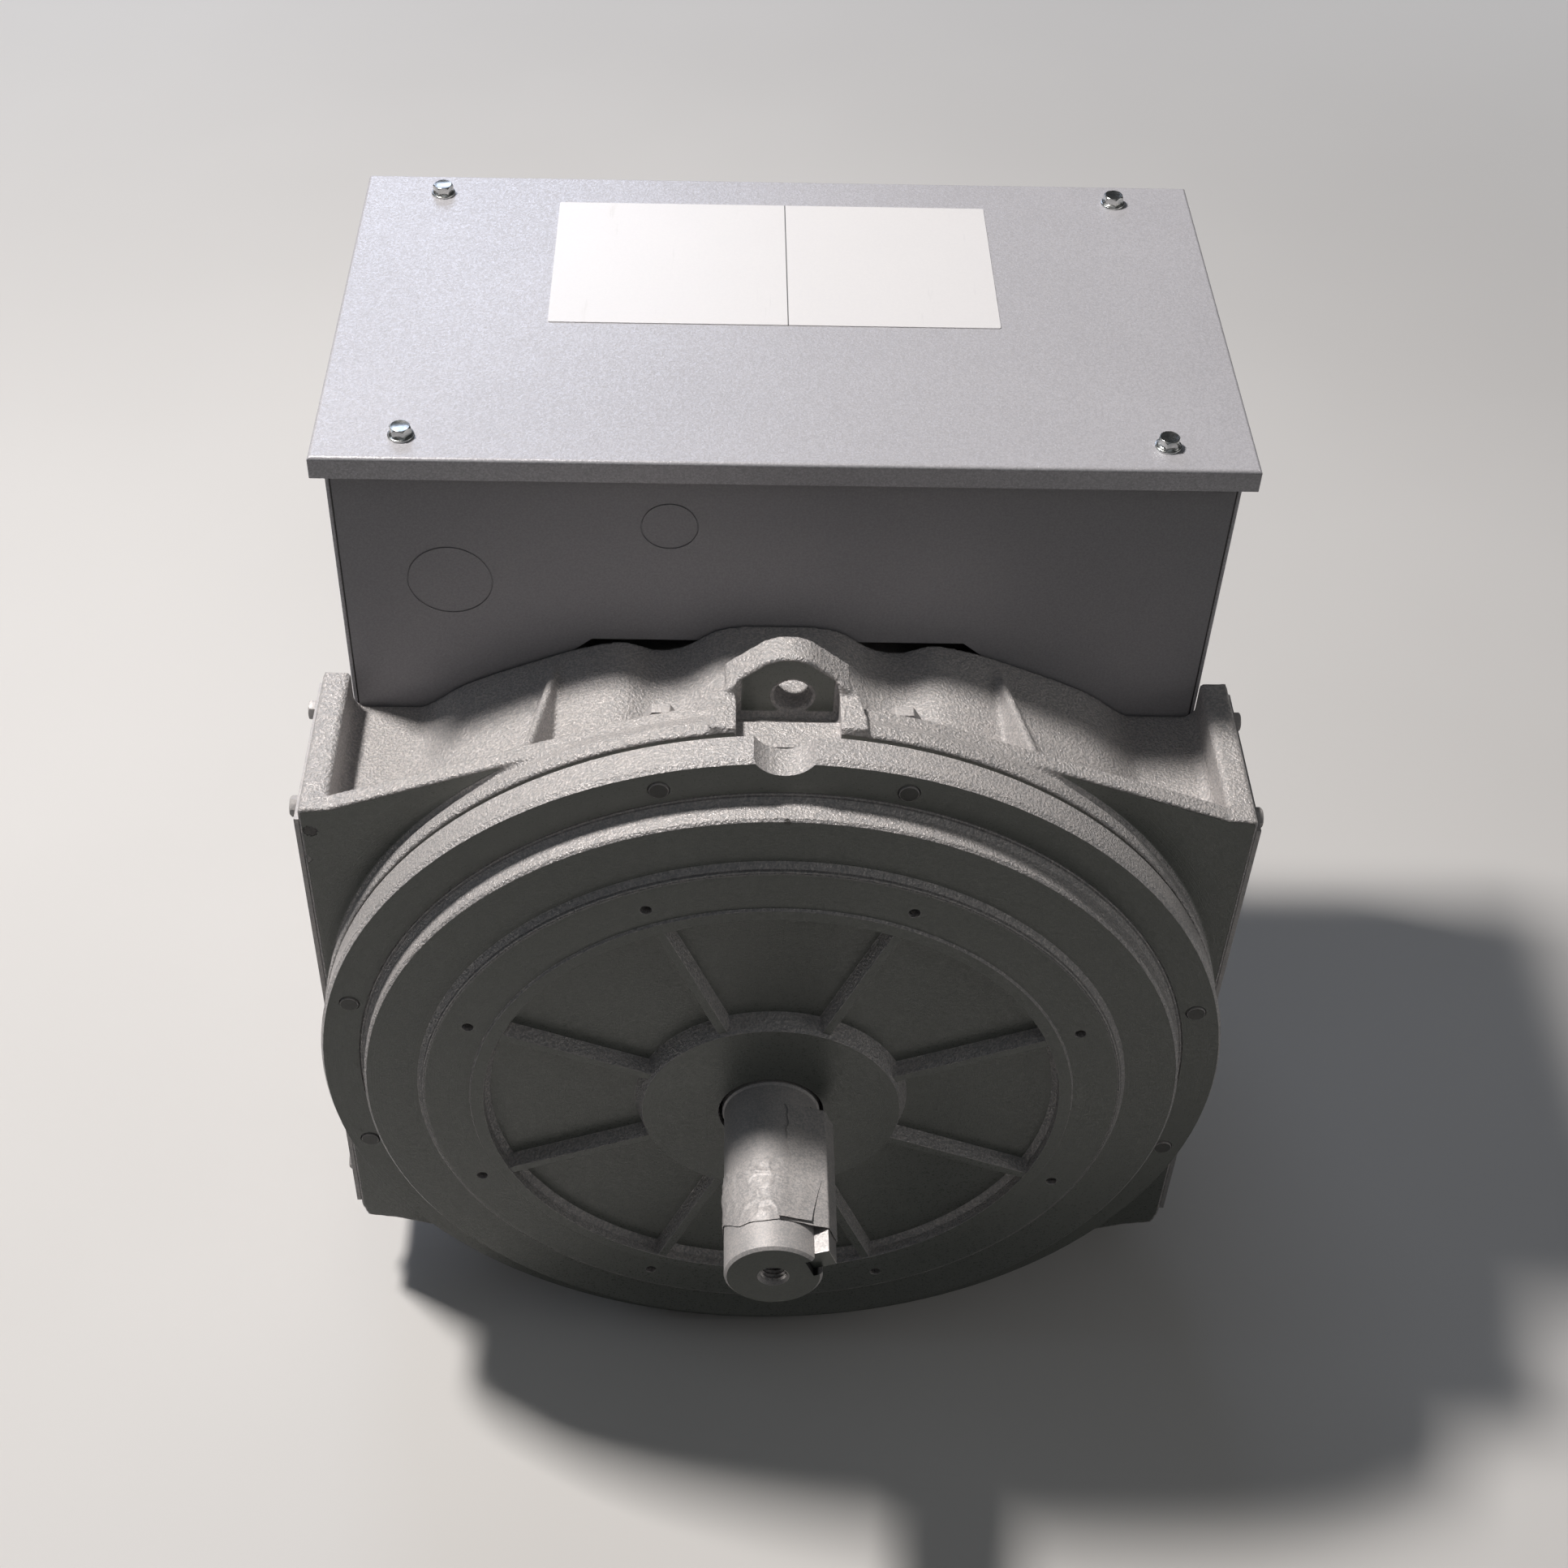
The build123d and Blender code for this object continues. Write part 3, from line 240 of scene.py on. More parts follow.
def silverPaint(
    name, sand, sandSize, contrast, roughness, level, shadeFlatFront=False, hammered=0.0, chips=(), scribed=(),
    seam=None, metallic=paint["metal"], frontShadeLevel=paint["shadedFrontLevel"], tint=None,
):
    # silver-grey paint with bright flakes; sand is the depth of the casting's skin under it
    finish = Finish(name, Metallic=metallic, Roughness=roughness)
    coarse = finish.grain(0.42 / sandSize, 2.0, 0.6)
    fine = finish.grain(1 / sandSize, 2.0, 0.6, seed=3.1)
    broad = finish.grain(9.0, 3.0, 0.55, seed=1.7)
    flakes = finish.flakes(paint["flakeScale"])
    skin = coarse * 0.20 + fine.span(0.22, 0.78) * 0.62 + flakes * 0.18
    if hammered:
        dimples = finish.grain(300.0, 1.5, 0.5, seed=5.3)
        skin = skin * 0.5 + dimples * hammered
    # the tops of the grains are painted lighter and the pits between them darker, as painted light and shade; the tops
    # are glossier too
    litCrests = (fine * 0.85 + coarse * 0.15).span(0.34, 0.66)
    tone = broad * 0.22 + litCrests * contrast + flakes * 0.22
    # lighter tones take a warm tint and darker ones a cool tint, painted as warm lamp light and cool sky shade
    darker = grey(level * (1.0 - contrast * 0.55), tint or paint["shadeCool"])
    lighter = grey(level * (1.0 + contrast * 0.42), tint or paint["litWarm"])
    colour = finish.blend(tone.span(0.10, 0.34 + contrast), darker, lighter)
    gloss = roughness + (flakes - 0.5) * 0.20 + (0.5 - litCrests) * 0.16
    metal = metallic + (flakes - 0.5) * min(metallic, 0.1) * 2
    if shadeFlatFront:
        # faces turned in the lathe take the paint smooth; as they look straight ahead they are painted dark as shade,
        # with a greenish painted reflection
        flat = finish.front()
        marks = finish.turned(1500.0)
        smear = finish.grain(26.0, 3.0, 0.6, seed=6.6)
        shadedFront = finish.blend(
            marks * 0.35 + smear * 0.4 + flakes * 0.25,
            grey(frontShadeLevel * 0.78, paint["shadedFront"]), grey(frontShadeLevel * 1.22, paint["shadedFront"]),
        )
        colour = finish.blend(flat, colour, shadedFront)
        skin = skin * (1.0 - flat * 0.93) + marks * flat * 0.05
        metal = metal * (1.0 - flat * 0.75)
    for groove in scribed:
        # a fine turned line round the shaft's axis, pressed into the bump and painted darker as the shade in it
        apart = (finish.radius() - groove["radius"]).math("ABSOLUTE")
        line = 1.0 - apart.span(groove["width"] * 0.4, groove["width"])
        skin = skin - line * groove["depth"]
        colour = finish.blend(line * groove["shade"], colour, (0.05, 0.05, 0.05, 1))
    if seam:
        # the dark joint where the front panel meets the folded strips of the sides
        across = (finish.part(finish.place, "X").math("ABSOLUTE") - seam["x"]).math("ABSOLUTE")
        joint = (1.0 - across.span(seam["width"] * 0.4, seam["width"])) * finish.front(0.9, 0.99)
        colour = finish.blend(joint, colour, (0.02, 0.02, 0.02, 1))
        skin = skin - joint * 2.0
        metal = metal * (1.0 - joint)
    for seed, chip in enumerate(chips):
        tatter = finish.grain(420.0, 3.0, 0.7, seed=8.8 + seed) - 0.5
        ragged = finish.awayFrom(chip["at"]) + tatter * chip["ragged"]
        worn = 1.0 - ragged.span(chip["radius"] * 0.8, chip["radius"])
        colour = finish.blend(worn, colour, chip["colour"])
        skin = skin - worn * 0.9
        metal = metal * (1.0 - worn)
    finish.feed("Base Color", colour)
    finish.feed("Roughness", gloss)
    finish.feed("Metallic", metal)
    finish.bump(skin, 1.0, sand)
    return finish.material


def zincPlate(name):
    roughness = 0.24
    finish = Finish(name, Metallic=1.0, Roughness=roughness)
    mottle = finish.grain(900.0, 3.0, 0.6)
    cloud = finish.grain(160.0, 2.0, 0.5, seed=2.2)
    dull, bright = grey(0.4464, (0.95, 1.0, 1.0)), grey(0.6944, (1.0, 1.0, 0.96))
    finish.feed("Base Color", finish.blend(cloud.span(0.3, 0.7), dull, bright))
    finish.feed("Roughness", roughness + (mottle - 0.5) * 0.22)
    finish.bump(mottle, 0.35, 0.00008)
    return finish.material


def turnedPaint(name, level, roughness, metal):
    # thin paint over lathe marks that ring the shaft's axis; the end face is smooth, painted dark as shade with a
    # greenish painted reflection
    finish = Finish(name, Metallic=metal, Roughness=roughness)
    turns = finish.grain(1.0, 3.0, 0.7, stretch=(0.001, 2600.0, 0.001))
    skin = finish.grain(900.0, 3.0, 0.6)
    broad = finish.grain(60.0, 2.0, 0.5, seed=4.0)
    flakes = finish.flakes(1500.0)
    flat = finish.front()
    tone = broad * 0.5 + flakes * 0.45 + turns * 0.3
    # the warm and cool tints paint lamp light on the lighter tones and sky shade on the darker
    colour = finish.blend(tone.span(0.3, 1.0), grey(level * 0.80, paint["shadeCool"]), grey(level * 1.18, paint["litWarm"]))
    greenReflection = (0.90, 1.0, 0.88)
    # the end face's dark greenish colour is painted shade and painted reflection
    face = finish.blend(finish.turned(1900.0) * 0.5 + skin * 0.5, grey(0.09, greenReflection), grey(0.14, greenReflection))
    radius = finish.radius()
    # the keyway's walls are painted near black as shade
    slotShade = (1.0 - radius.span(*keywayShade["top"])) * radius.span(*keywayShade["bottom"]) * (1.0 - flat)
    finish.feed("Base Color", finish.blend(slotShade, finish.blend(flat, colour, face), keywayShade["colour"]))
    finish.feed("Roughness", roughness + (flakes - 0.5) * 0.16)
    finish.feed("Metallic", (metal + (flakes - 0.5) * 0.12) * (1.0 - flat * 0.8))
    finish.bump((turns * 0.5 + skin * 0.5) * (1.0 - flat * 0.7), 0.8, 0.00012)
    return finish.material


def coreSteel(name):
    # stacked sheets: dark lines across the shaft's axis under a thin varnish
    finish = Finish(name, Metallic=0.7, Roughness=0.5)
    sheets = finish.grain(1.0, 2.0, 0.8, stretch=(4.0, 1400.0, 4.0))
    stain = finish.grain(35.0, 3.0, 0.6, seed=2.0)
    tone = sheets * 0.6 + stain * 0.4
    finish.feed("Base Color", finish.blend(tone, (0.05, 0.045, 0.04, 1), (0.24, 0.22, 0.21, 1)))
    finish.feed("Roughness", 0.36 + stain * 0.3)
    finish.bump(sheets, 0.9, 0.0002)
    return finish.material


def windingVarnish(name):
    finish = Finish(name, Roughness=0.35)
    finish.shader.inputs["Coat Weight"].default_value = 0.4
    wires = finish.grain(420.0, 2.0, 0.6)
    drips = finish.grain(45.0, 3.0, 0.6, seed=6.0)
    tone = drips.span(0.3, 0.75) * 0.7 + wires * 0.3
    finish.feed("Base Color", finish.blend(tone, (0.09, 0.022, 0.012, 1), (0.38, 0.13, 0.06, 1)))
    finish.feed("Roughness", 0.25 + wires * 0.3)
    finish.bump(wires, 0.6, 0.0004)
    return finish.material


def lacingCord(name):
    finish = Finish(name, Roughness=0.7)
    twist = finish.cells(700.0)
    finish.feed("Base Color", finish.blend(twist.span(0.1, 0.6), (0.62, 0.56, 0.42, 1), (0.34, 0.26, 0.16, 1)))
    finish.feed("Roughness", 0.6 + twist * 0.2)
    finish.bump(twist, 0.7, 0.0003)
    return finish.material


def fanCasting(name):
    finish = Finish(name, Metallic=0.9, Roughness=0.5)
    skin = finish.grain(500.0, 4.0, 0.65)
    cloud = finish.grain(22.0, 2.0, 0.5, seed=4.4)
    tone = cloud.span(0.3, 0.7) * 0.6 + skin * 0.4
    finish.feed("Base Color", finish.blend(tone, (0.36, 0.37, 0.38, 1), (0.62, 0.63, 0.64, 1)))
    finish.feed("Roughness", 0.4 + skin * 0.25)
    finish.bump(skin, 0.8, 0.0003)
    return finish.material


def groundSteel(name):
    finish = Finish(name, Metallic=1.0, Roughness=0.22)
    hair = finish.grain(1.0, 2.0, 0.7, stretch=(60.0, 2600.0, 60.0))
    film = finish.grain(70.0, 3.0, 0.5, seed=1.1)
    finish.feed("Base Color", finish.blend(film.span(0.3, 0.7), (0.42, 0.41, 0.39, 1), (0.66, 0.66, 0.67, 1)))
    finish.feed("Roughness", 0.16 + hair * 0.18)
    finish.bump(hair, 0.3, 0.00005)
    return finish.material


def labelFilm(name, rule):
    # white film in two panels with a thin printed rule between them, a few scuffs and dust
    finish = Finish(name, Roughness=0.35)
    dust = finish.grain(700.0, 3.0, 0.7)
    cloud = finish.grain(14.0, 2.0, 0.5, seed=7.0)
    scuff = finish.grain(90.0, 4.0, 0.7, stretch=(1.0, 0.12, 1.0), seed=2.6).span(0.62, 0.72)
    colour = finish.blend(cloud * 0.5 + dust.span(0.3, 0.7) * 0.3, (0.62, 0.615, 0.625, 1), (0.68, 0.67, 0.67, 1))
    colour = finish.blend(scuff * 0.25, colour, (0.48, 0.48, 0.49, 1))
    apart = (finish.part(finish.place, "X") - rule["x"]).math("ABSOLUTE")
    line = 1.0 - apart.span(rule["width"] * 0.35, rule["width"] * 0.65)
    finish.feed("Base Color", finish.blend(line, colour, (0.10, 0.10, 0.10, 1)))
    finish.feed("Roughness", 0.30 + dust * 0.10 + scuff * 0.25)
    finish.bump(finish.grain(320.0, 2.0, 0.5, seed=9.0), 0.25, 0.0001)
    return finish.material


def tapePaper(name):
    # crepe paper tape under the same silver overspray as the shaft
    finish = Finish(name, Metallic=0.12, Roughness=0.45)
    crepe = finish.grain(1.0, 3.0, 0.6, stretch=(420.0, 900.0, 420.0))
    spray = finish.grain(900.0, 3.0, 0.6, seed=2.0)
    patch = finish.grain(70.0, 3.0, 0.6, seed=5.0)
    flakes = finish.flakes(paint["flakeScale"])
    tone = patch * 0.35 + spray * 0.4 + flakes * 0.4
    # the warm and cool tints paint lamp light on the lighter tones and sky shade on the darker
    finish.feed("Base Color", finish.blend(tone.span(0.3, 0.85), grey(0.36, paint["shadeCool"]), grey(0.56, paint["litWarm"])))
    finish.feed("Roughness", 0.38 + spray * 0.2)
    finish.bump(crepe * 0.45 + spray * 0.55, 0.7, 0.00028)
    return finish.material


plateChips = [
    {"at": (-0.2405, plateY, 0.4055), "radius": 0.0040, "ragged": 0.006, "colour": (0.02, 0.018, 0.016, 1)},
    {"at": (-0.2440, plateY, 0.3840), "radius": 0.0026, "ragged": 0.006, "colour": (0.42, 0.41, 0.40, 1)},
]
shieldNicks = [
    {"at": (0.002, ringY - 0.0148, 0.4695), "radius": 0.0016, "ragged": 0.003, "colour": (0.10, 0.095, 0.09, 1)},
]
shieldGrooves = [
    {"radius": 0.2232, "width": 0.0005, "depth": 0.35, "shade": 0.5},
    {"radius": 0.2246, "width": 0.0004, "depth": 0.35, "shade": 0.5},
    {"radius": 0.1882, "width": 0.0004, "depth": 0.3, "shade": 0.6},
    {"radius": 0.1895, "width": 0.0004, "depth": 0.3, "shade": 0.6},
]
cast, sheet = paint["castLevel"], paint["sheetLevel"]
bracketPaint = silverPaint("bracketPaint", 0.00100, 0.0016, 0.46, 0.38, cast, shadeFlatFront=True, chips=plateChips)
ringPaint = silverPaint("ringPaint", 0.00080, 0.0015, 0.44, 0.40, cast, shadeFlatFront=True)
shieldPaint = silverPaint(
    "shieldPaint", 0.00085, 0.0016, 0.46, 0.36, cast, shadeFlatFront=True, chips=shieldNicks, scribed=shieldGrooves,
)
tailPaint = silverPaint("tailPaint", 0.00085, 0.0016, 0.46, 0.38, cast)
# the box's paint has a slight blue tint, partly its own colour and partly a painted sheen of cool sky light
boxPaint = silverPaint("boxPaint", 0.00018, 0.0012, 0.30, 0.36, sheet, hammered=0.6, tint=paint["box"])
# the box's front panel is painted darker than the rest of the box, as painted shade
boxFrontShadePaint = silverPaint(
    "boxFrontShadePaint", 0.00016, 0.0012, 0.20, 0.50, 0.36, hammered=0.6, seam={"x": 0.2293, "width": 0.0008},
    metallic=0.04, tint=paint["box"],
)
# the bolts' ends are painted darker still, as the shade in the holes they sit in
boltPaint = silverPaint("boltPaint", 0.00030, 0.0015, 0.30, 0.42, cast, shadeFlatFront=True, frontShadeLevel=0.045)
barrelPaint = silverPaint("barrelPaint", 0.00018, 0.0013, 0.18, 0.38, sheet, hammered=0.5)
footPaint = silverPaint("footPaint", 0.00020, 0.0013, 0.22, 0.42, sheet, hammered=0.4)
zinc = zincPlate("zinc")
shaftPaint = turnedPaint("shaftPaint", 0.50, 0.54, 0.22)
keySteel = turnedPaint("keySteel", 0.50, 0.36, 0.45)
threadSteel = turnedPaint("threadSteel", 0.46, 0.34, 0.8)
coreStack = coreSteel("coreStack")
varnish = windingVarnish("varnish")
lacing = lacingCord("lacing")
fanMetal = fanCasting("fanMetal")
bearingSteel = groundSteel("bearingSteel")
tapeCrepe = tapePaper("tapeCrepe")
print("stage: finishes made")


# floor
def makeFloor():
    # pale to the camera and in gloss, and darker as a source of bounced light
    finish = Finish("floorPaint", Roughness=0.85)
    finish.shader.inputs["Specular IOR Level"].default_value = 0.1
    cloud = finish.grain(1.6, 3.0, 0.5)
    pale = finish.blend(cloud.span(0.3, 0.7), (0.67, 0.66, 0.645, 1), (0.70, 0.69, 0.675, 1))
    seen = finish.add("ShaderNodeLightPath", output="Is Camera Ray")
    glossy = finish.add("ShaderNodeLightPath", output="Is Glossy Ray")
    through = finish.add("ShaderNodeLightPath", output="Is Transmission Ray")
    shown = (seen + glossy + through).span(0.0, 1.0)
    finish.feed("Base Color", finish.blend(shown, (0.06, 0.062, 0.062, 1), pale))
    # far from the lamps the floor runs out into the pale backdrop
    across, deep = finish.part(finish.place, "X"), finish.part(finish.place, "Y")
    far = (across * across + deep * deep).math("SQRT").span(0.9, 4.5)
    finish.shader.inputs["Emission Strength"].default_value = 1.0
    finish.feed("Emission Color", finish.blend(far * seen, (0, 0, 0, 1), (0.78, 0.79, 0.80, 1)))
    bpy.ops.mesh.primitive_plane_add(size=14, location=(0, 0, 0))
    floor = bpy.context.object
    floor.name = "floor"
    floor.data.materials.append(finish.material)


def makeWorld():
    world = bpy.data.worlds.new("room")
    scene.world = world
    world.use_nodes = True
    tree = world.node_tree
    back = tree.nodes["Background"]
    path = tree.nodes.new("ShaderNodeLightPath")
    add = tree.nodes.new("ShaderNodeMath")
    add.operation = "MAXIMUM"
    tree.links.new(path.outputs["Is Camera Ray"], add.inputs[0])
    tree.links.new(path.outputs["Is Transmission Ray"], add.inputs[1])
    strength = tree.nodes.new("ShaderNodeMapRange")
    strength.inputs["To Min"].default_value = 0.045
    strength.inputs["To Max"].default_value = 0.85
    tree.links.new(add.outputs[0], strength.inputs["Value"])
    tree.links.new(strength.outputs[0], back.inputs["Strength"])
    back.inputs["Color"].default_value = (0.96, 0.98, 1.0, 1)


makeFloor()
makeWorld()


# modelling helpers
def clearSelection():
    if bpy.context.object and bpy.context.object.mode != "OBJECT":
        bpy.ops.object.mode_set(mode="OBJECT")
    bpy.ops.object.select_all(action="DESELECT")


def pick(piece):
    clearSelection()
    piece.select_set(True)
    bpy.context.view_layer.objects.active = piece


def modify(piece, kind, **settings):
    pick(piece)
    modifier = piece.modifiers.new(kind.title(), kind)
    for key, value in settings.items():
        setattr(modifier, key, value)
    bpy.ops.object.modifier_apply(modifier=modifier.name)


def placeInMesh(piece):
    pick(piece)
    bpy.ops.object.transform_apply(location=True, rotation=True, scale=True)


def smooth(piece, degrees):
    pick(piece)
    bpy.ops.object.shade_smooth_by_angle(angle=math.radians(degrees))


def join(pieces):
    clearSelection()
    for piece in pieces:
        piece.select_set(True)
    bpy.context.view_layer.objects.active = pieces[0]
    bpy.ops.object.join()
    return pieces[0]


def copyTo(piece, matrix):
    twin = bpy.data.objects.new(piece.name, piece.data.copy())
    scene.collection.objects.link(twin)
    twin.data.transform(matrix)
    return twin


def discard(piece):
    mesh = piece.data
    bpy.data.objects.remove(piece)
    bpy.data.meshes.remove(mesh)


def clearChoice(piece, kind):
    # in object mode, with nothing chosen in the mesh
    pick(piece)
    bpy.ops.object.mode_set(mode="EDIT")
    bpy.ops.mesh.select_mode(type=kind)
    bpy.ops.mesh.select_all(action="DESELECT")
    bpy.ops.object.mode_set(mode="OBJECT")


def chooseEdges(piece, wanted):
    # selects the edges for which wanted(start, end) holds, ready for an edit-mode operator
    clearChoice(piece, "EDGE")
    points = piece.data.vertices
    for edge in piece.data.edges:
        edge.select = wanted(points[edge.vertices[0]].co, points[edge.vertices[1]].co)
    bpy.ops.object.mode_set(mode="EDIT")


def chooseFaces(piece, wanted):
    # selects the faces for which wanted(centre, normal) holds
    clearChoice(piece, "FACE")
    for face in piece.data.polygons:
        face.select = wanted(face.center, face.normal)
    bpy.ops.object.mode_set(mode="EDIT")


def bevelEdges(piece, wanted, offset, segments):
    chooseEdges(piece, wanted)
    bpy.ops.mesh.bevel(offset=offset, segments=segments)
    bpy.ops.object.mode_set(mode="OBJECT")


def cutAlong(piece, wanted, cuts):
    chooseEdges(piece, wanted)
    bpy.ops.mesh.subdivide(number_cuts=cuts)
    bpy.ops.object.mode_set(mode="OBJECT")


def turnOutward(piece):
    pick(piece)
    bpy.ops.object.mode_set(mode="EDIT")
    bpy.ops.mesh.select_all(action="SELECT")
    bpy.ops.mesh.normals_make_consistent(inside=False)
    bpy.ops.object.mode_set(mode="OBJECT")


def dress(piece, name, body, finish, standsFor=()):
    piece.name = name
    piece.data.name = name
    piece.data.materials.clear()
    piece.data.materials.append(finish)
    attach(piece, body)
    if standsFor:
        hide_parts(*standsFor)
    print("piece:", name, len(piece.data.polygons), "faces")


def mergedCopy(nodeName):
    # a CAD mesh is loose triangles, so its copy is merged before anything else
    piece = bpy.data.objects.new(nodeName + "Copy", nodes[nodeName].data.copy())
    scene.collection.objects.link(piece)
    pick(piece)
    if piece.data.has_custom_normals:
        bpy.ops.mesh.customdata_custom_splitnormals_clear()
    bpy.ops.object.mode_set(mode="EDIT")
    bpy.ops.mesh.select_all(action="SELECT")
    bpy.ops.mesh.remove_doubles(threshold=0.000002)
    bpy.ops.mesh.dissolve_limited(angle_limit=math.radians(0.4))
    bpy.ops.object.mode_set(mode="OBJECT")
    return piece


def easedCopy(nodeName, width, segments=2, degrees=28):
    # the node's own shape with its sharp edges eased
    piece = mergedCopy(nodeName)
    modify(
        piece, "BEVEL", width=width, segments=segments, limit_method="ANGLE",
        angle_limit=math.radians(degrees), use_clamp_overlap=True, miter_outer="MITER_ARC",
    )
    smooth(piece, 40)
    modify(piece, "WEIGHTED_NORMAL", keep_sharp=True, weight=70)
    return piece


def paintNode(nodeName, finish):
    mesh = nodes[nodeName].data
    mesh.materials.clear()
    mesh.materials.append(finish)


# castings
bracket = {
    "voxel": 0.00125, "ease": 0.5, "rounds": 1, "hollowRounds": 7, "most": 196000,
    "plateDepth": 0.0115, "wallInset": 0.004,
}


def makeBracket():
    # the cast hollow behind the plate gets fuller fillets than the machined edges
    piece = mergedCopy("drive_end_bracket")
    modify(piece, "REMESH", mode="VOXEL", voxel_size=bracket["voxel"], adaptivity=0.0)
    modify(piece, "SMOOTH", factor=bracket["ease"], iterations=bracket["rounds"])
    plateRear = plateY + bracket["plateDepth"]
    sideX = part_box("drive_end_bracket")[1].x - bracket["wallInset"]
    hollow = piece.vertex_groups.new(name="hollow")
    inside = [v.index for v in piece.data.vertices if v.co.y > plateRear and abs(v.co.x) < sideX]
    hollow.add(inside, 1.0, "REPLACE")
    modify(piece, "SMOOTH", factor=bracket["ease"], iterations=bracket["hollowRounds"], vertex_group="hollow")
    triangles = len(piece.data.polygons) * 2  # the remeshed faces have four sides
    modify(piece, "DECIMATE", ratio=min(1.0, bracket["most"] / triangles))
    piece.vertex_groups.clear()
    smooth(piece, 60)
    dress(piece, "bracketCasting", "machine", bracketPaint, ["drive_end_bracket"])


makeBracket()
# node, piece, width and segments of its eased edges, smallest angle eased, finish
castings = [
    ("adaptor_ring", "ringCasting", 0.0007, 3, 28, ringPaint),
    ("adaptor_bolts", "ringBolts", 0.0007, 2, 28, boltPaint),
    ("end_shield", "shieldCasting", 0.0016, 3, 20, shieldPaint),
    ("tail_bracket", "tailCasting", 0.0015, 2, 28, tailPaint),
]
for nodeName, name, width, segments, degrees, finish in castings:
    dress(easedCopy(nodeName, width, segments, degrees), name, "machine", finish, [nodeName])
dress(easedCopy("cooling_fan", 0.0010), "fanWheel", "rotor", fanMetal, ["cooling_fan"])
print("stage: castings made")

# sheet parts: node, piece, width of its eased edges, finish
sheets = [
    ("box_lid", "boxLid", 0.0004, boxPaint),
    ("box_front_panel", "boxFront", 0.00045, boxFrontShadePaint),
    ("box_rear_panel", "boxRear", 0.00045, boxPaint),
    ("box_side_right", "boxSideRight", 0.0006, boxPaint),
    ("box_side_left", "boxSideLeft", 0.0006, boxPaint),
    ("box_floor_right", "boxFloorRight", 0.0005, boxPaint),
    ("box_floor_left", "boxFloorLeft", 0.0005, boxPaint),
    ("stator_frame", "barrel", 0.0012, barrelPaint),
    ("side_cover_right", "sideCoverRight", 0.0006, barrelPaint),
    ("side_cover_left", "sideCoverLeft", 0.0006, barrelPaint),
    ("inlet_cover", "inletDrum", 0.0006, barrelPaint),
    ("inlet_grille", "inletGrille", 0.0005, barrelPaint),
    ("foot_right", "footRight", 0.0012, footPaint),
    ("foot_left", "footLeft", 0.0012, footPaint),
]
for nodeName, name, width, finish in sheets:
    dress(easedCopy(nodeName, width), name, "machine", finish, [nodeName])
print("stage: sheet parts made")

# bolts and screws
lidBolt = {
    "washerRadius": 0.0068, "washerHeight": 0.0013, "flare": 0.0062, "hexRadius": 0.0058, "height": 0.0061,
    "shankRadius": 0.0039, "shankLength": 0.012,
}
coverScrew = {
    "washerRadius": 0.0069, "washerHeight": 0.0011, "flare": 0.0, "hexRadius": 0.0057, "height": 0.0054,
    "shankRadius": 0.0029, "shankLength": 0.0022, "flangeSheet": 0.002,
}


# shares of the hexagon's radius or the washer's height, and small lengths that all the heads have
boltHead = {
    "overlap": 0.0004, "crownReach": 1.01, "crownBevel": 0.17, "dishInset": 0.10, "dishDepth": 0.0002,
    "washerBevel": 0.35, "flareTop": 0.8, "flareHeight": 0.0012, "flareLift": 0.0005, "ease": 0.00015,
}


def makeBolt(name, size):
    # hexagon head with a turned-off crown, a flange or washer and a shank, standing on z = 0
    rise, overlap = size["washerHeight"], boltHead["overlap"]
    clearSelection()
    bpy.ops.mesh.primitive_cylinder_add(
        vertices=6, radius=size["hexRadius"], depth=size["height"] - rise + overlap,
        location=(0, 0, (size["height"] + rise - overlap) / 2),
    )
    head = bpy.context.object
    clearSelection()
    bpy.ops.mesh.primitive_cylinder_add(
        vertices=36, radius=size["hexRadius"] * boltHead["crownReach"], depth=size["height"] * 2, location=(0, 0, 0),
    )
    crown = bpy.context.object
    crownBevel = size["hexRadius"] * boltHead["crownBevel"]
    bevelEdges(crown, lambda a, b: min(a.z, b.z) > size["height"] * 0.99, crownBevel, 1)
    modify(head, "BOOLEAN", operation="INTERSECT", solver="EXACT", object=crown)
    discard(crown)
    chooseFaces(head, lambda centre, normal: normal.z > 0.99)
    bpy.ops.mesh.inset(thickness=size["hexRadius"] * boltHead["dishInset"], depth=-boltHead["dishDepth"])
    bpy.ops.object.mode_set(mode="OBJECT")
    clearSelection()
    bpy.ops.mesh.primitive_cylinder_add(
        vertices=36, radius=size["washerRadius"], depth=rise, location=(0, 0, rise / 2),
    )
    washer = bpy.context.object
    bevelEdges(
        washer, lambda a, b: min(a.z, b.z) > rise * 0.49 and (b - a).length > 0.0001,
        rise * boltHead["washerBevel"], 2,
    )
    parts = [head, washer]
    if size["flare"]:
        clearSelection()
        bpy.ops.mesh.primitive_cone_add(
            vertices=36, radius1=size["flare"], radius2=size["hexRadius"] * boltHead["flareTop"],
            depth=boltHead["flareHeight"], location=(0, 0, rise + boltHead["flareLift"]),
        )
        parts.append(bpy.context.object)
    clearSelection()
    bpy.ops.mesh.primitive_cylinder_add(
        vertices=20, radius=size["shankRadius"], depth=size["shankLength"],
        location=(0, 0, overlap - size["shankLength"] / 2),
    )
    parts.append(bpy.context.object)
    for part in parts:
        placeInMesh(part)
    bolt = join(parts)
    modify(
        bolt, "BEVEL", width=boltHead["ease"], segments=2, limit_method="ANGLE", angle_limit=math.radians(35),
    )
    smooth(bolt, 30)
    bolt.name = name
    return bolt


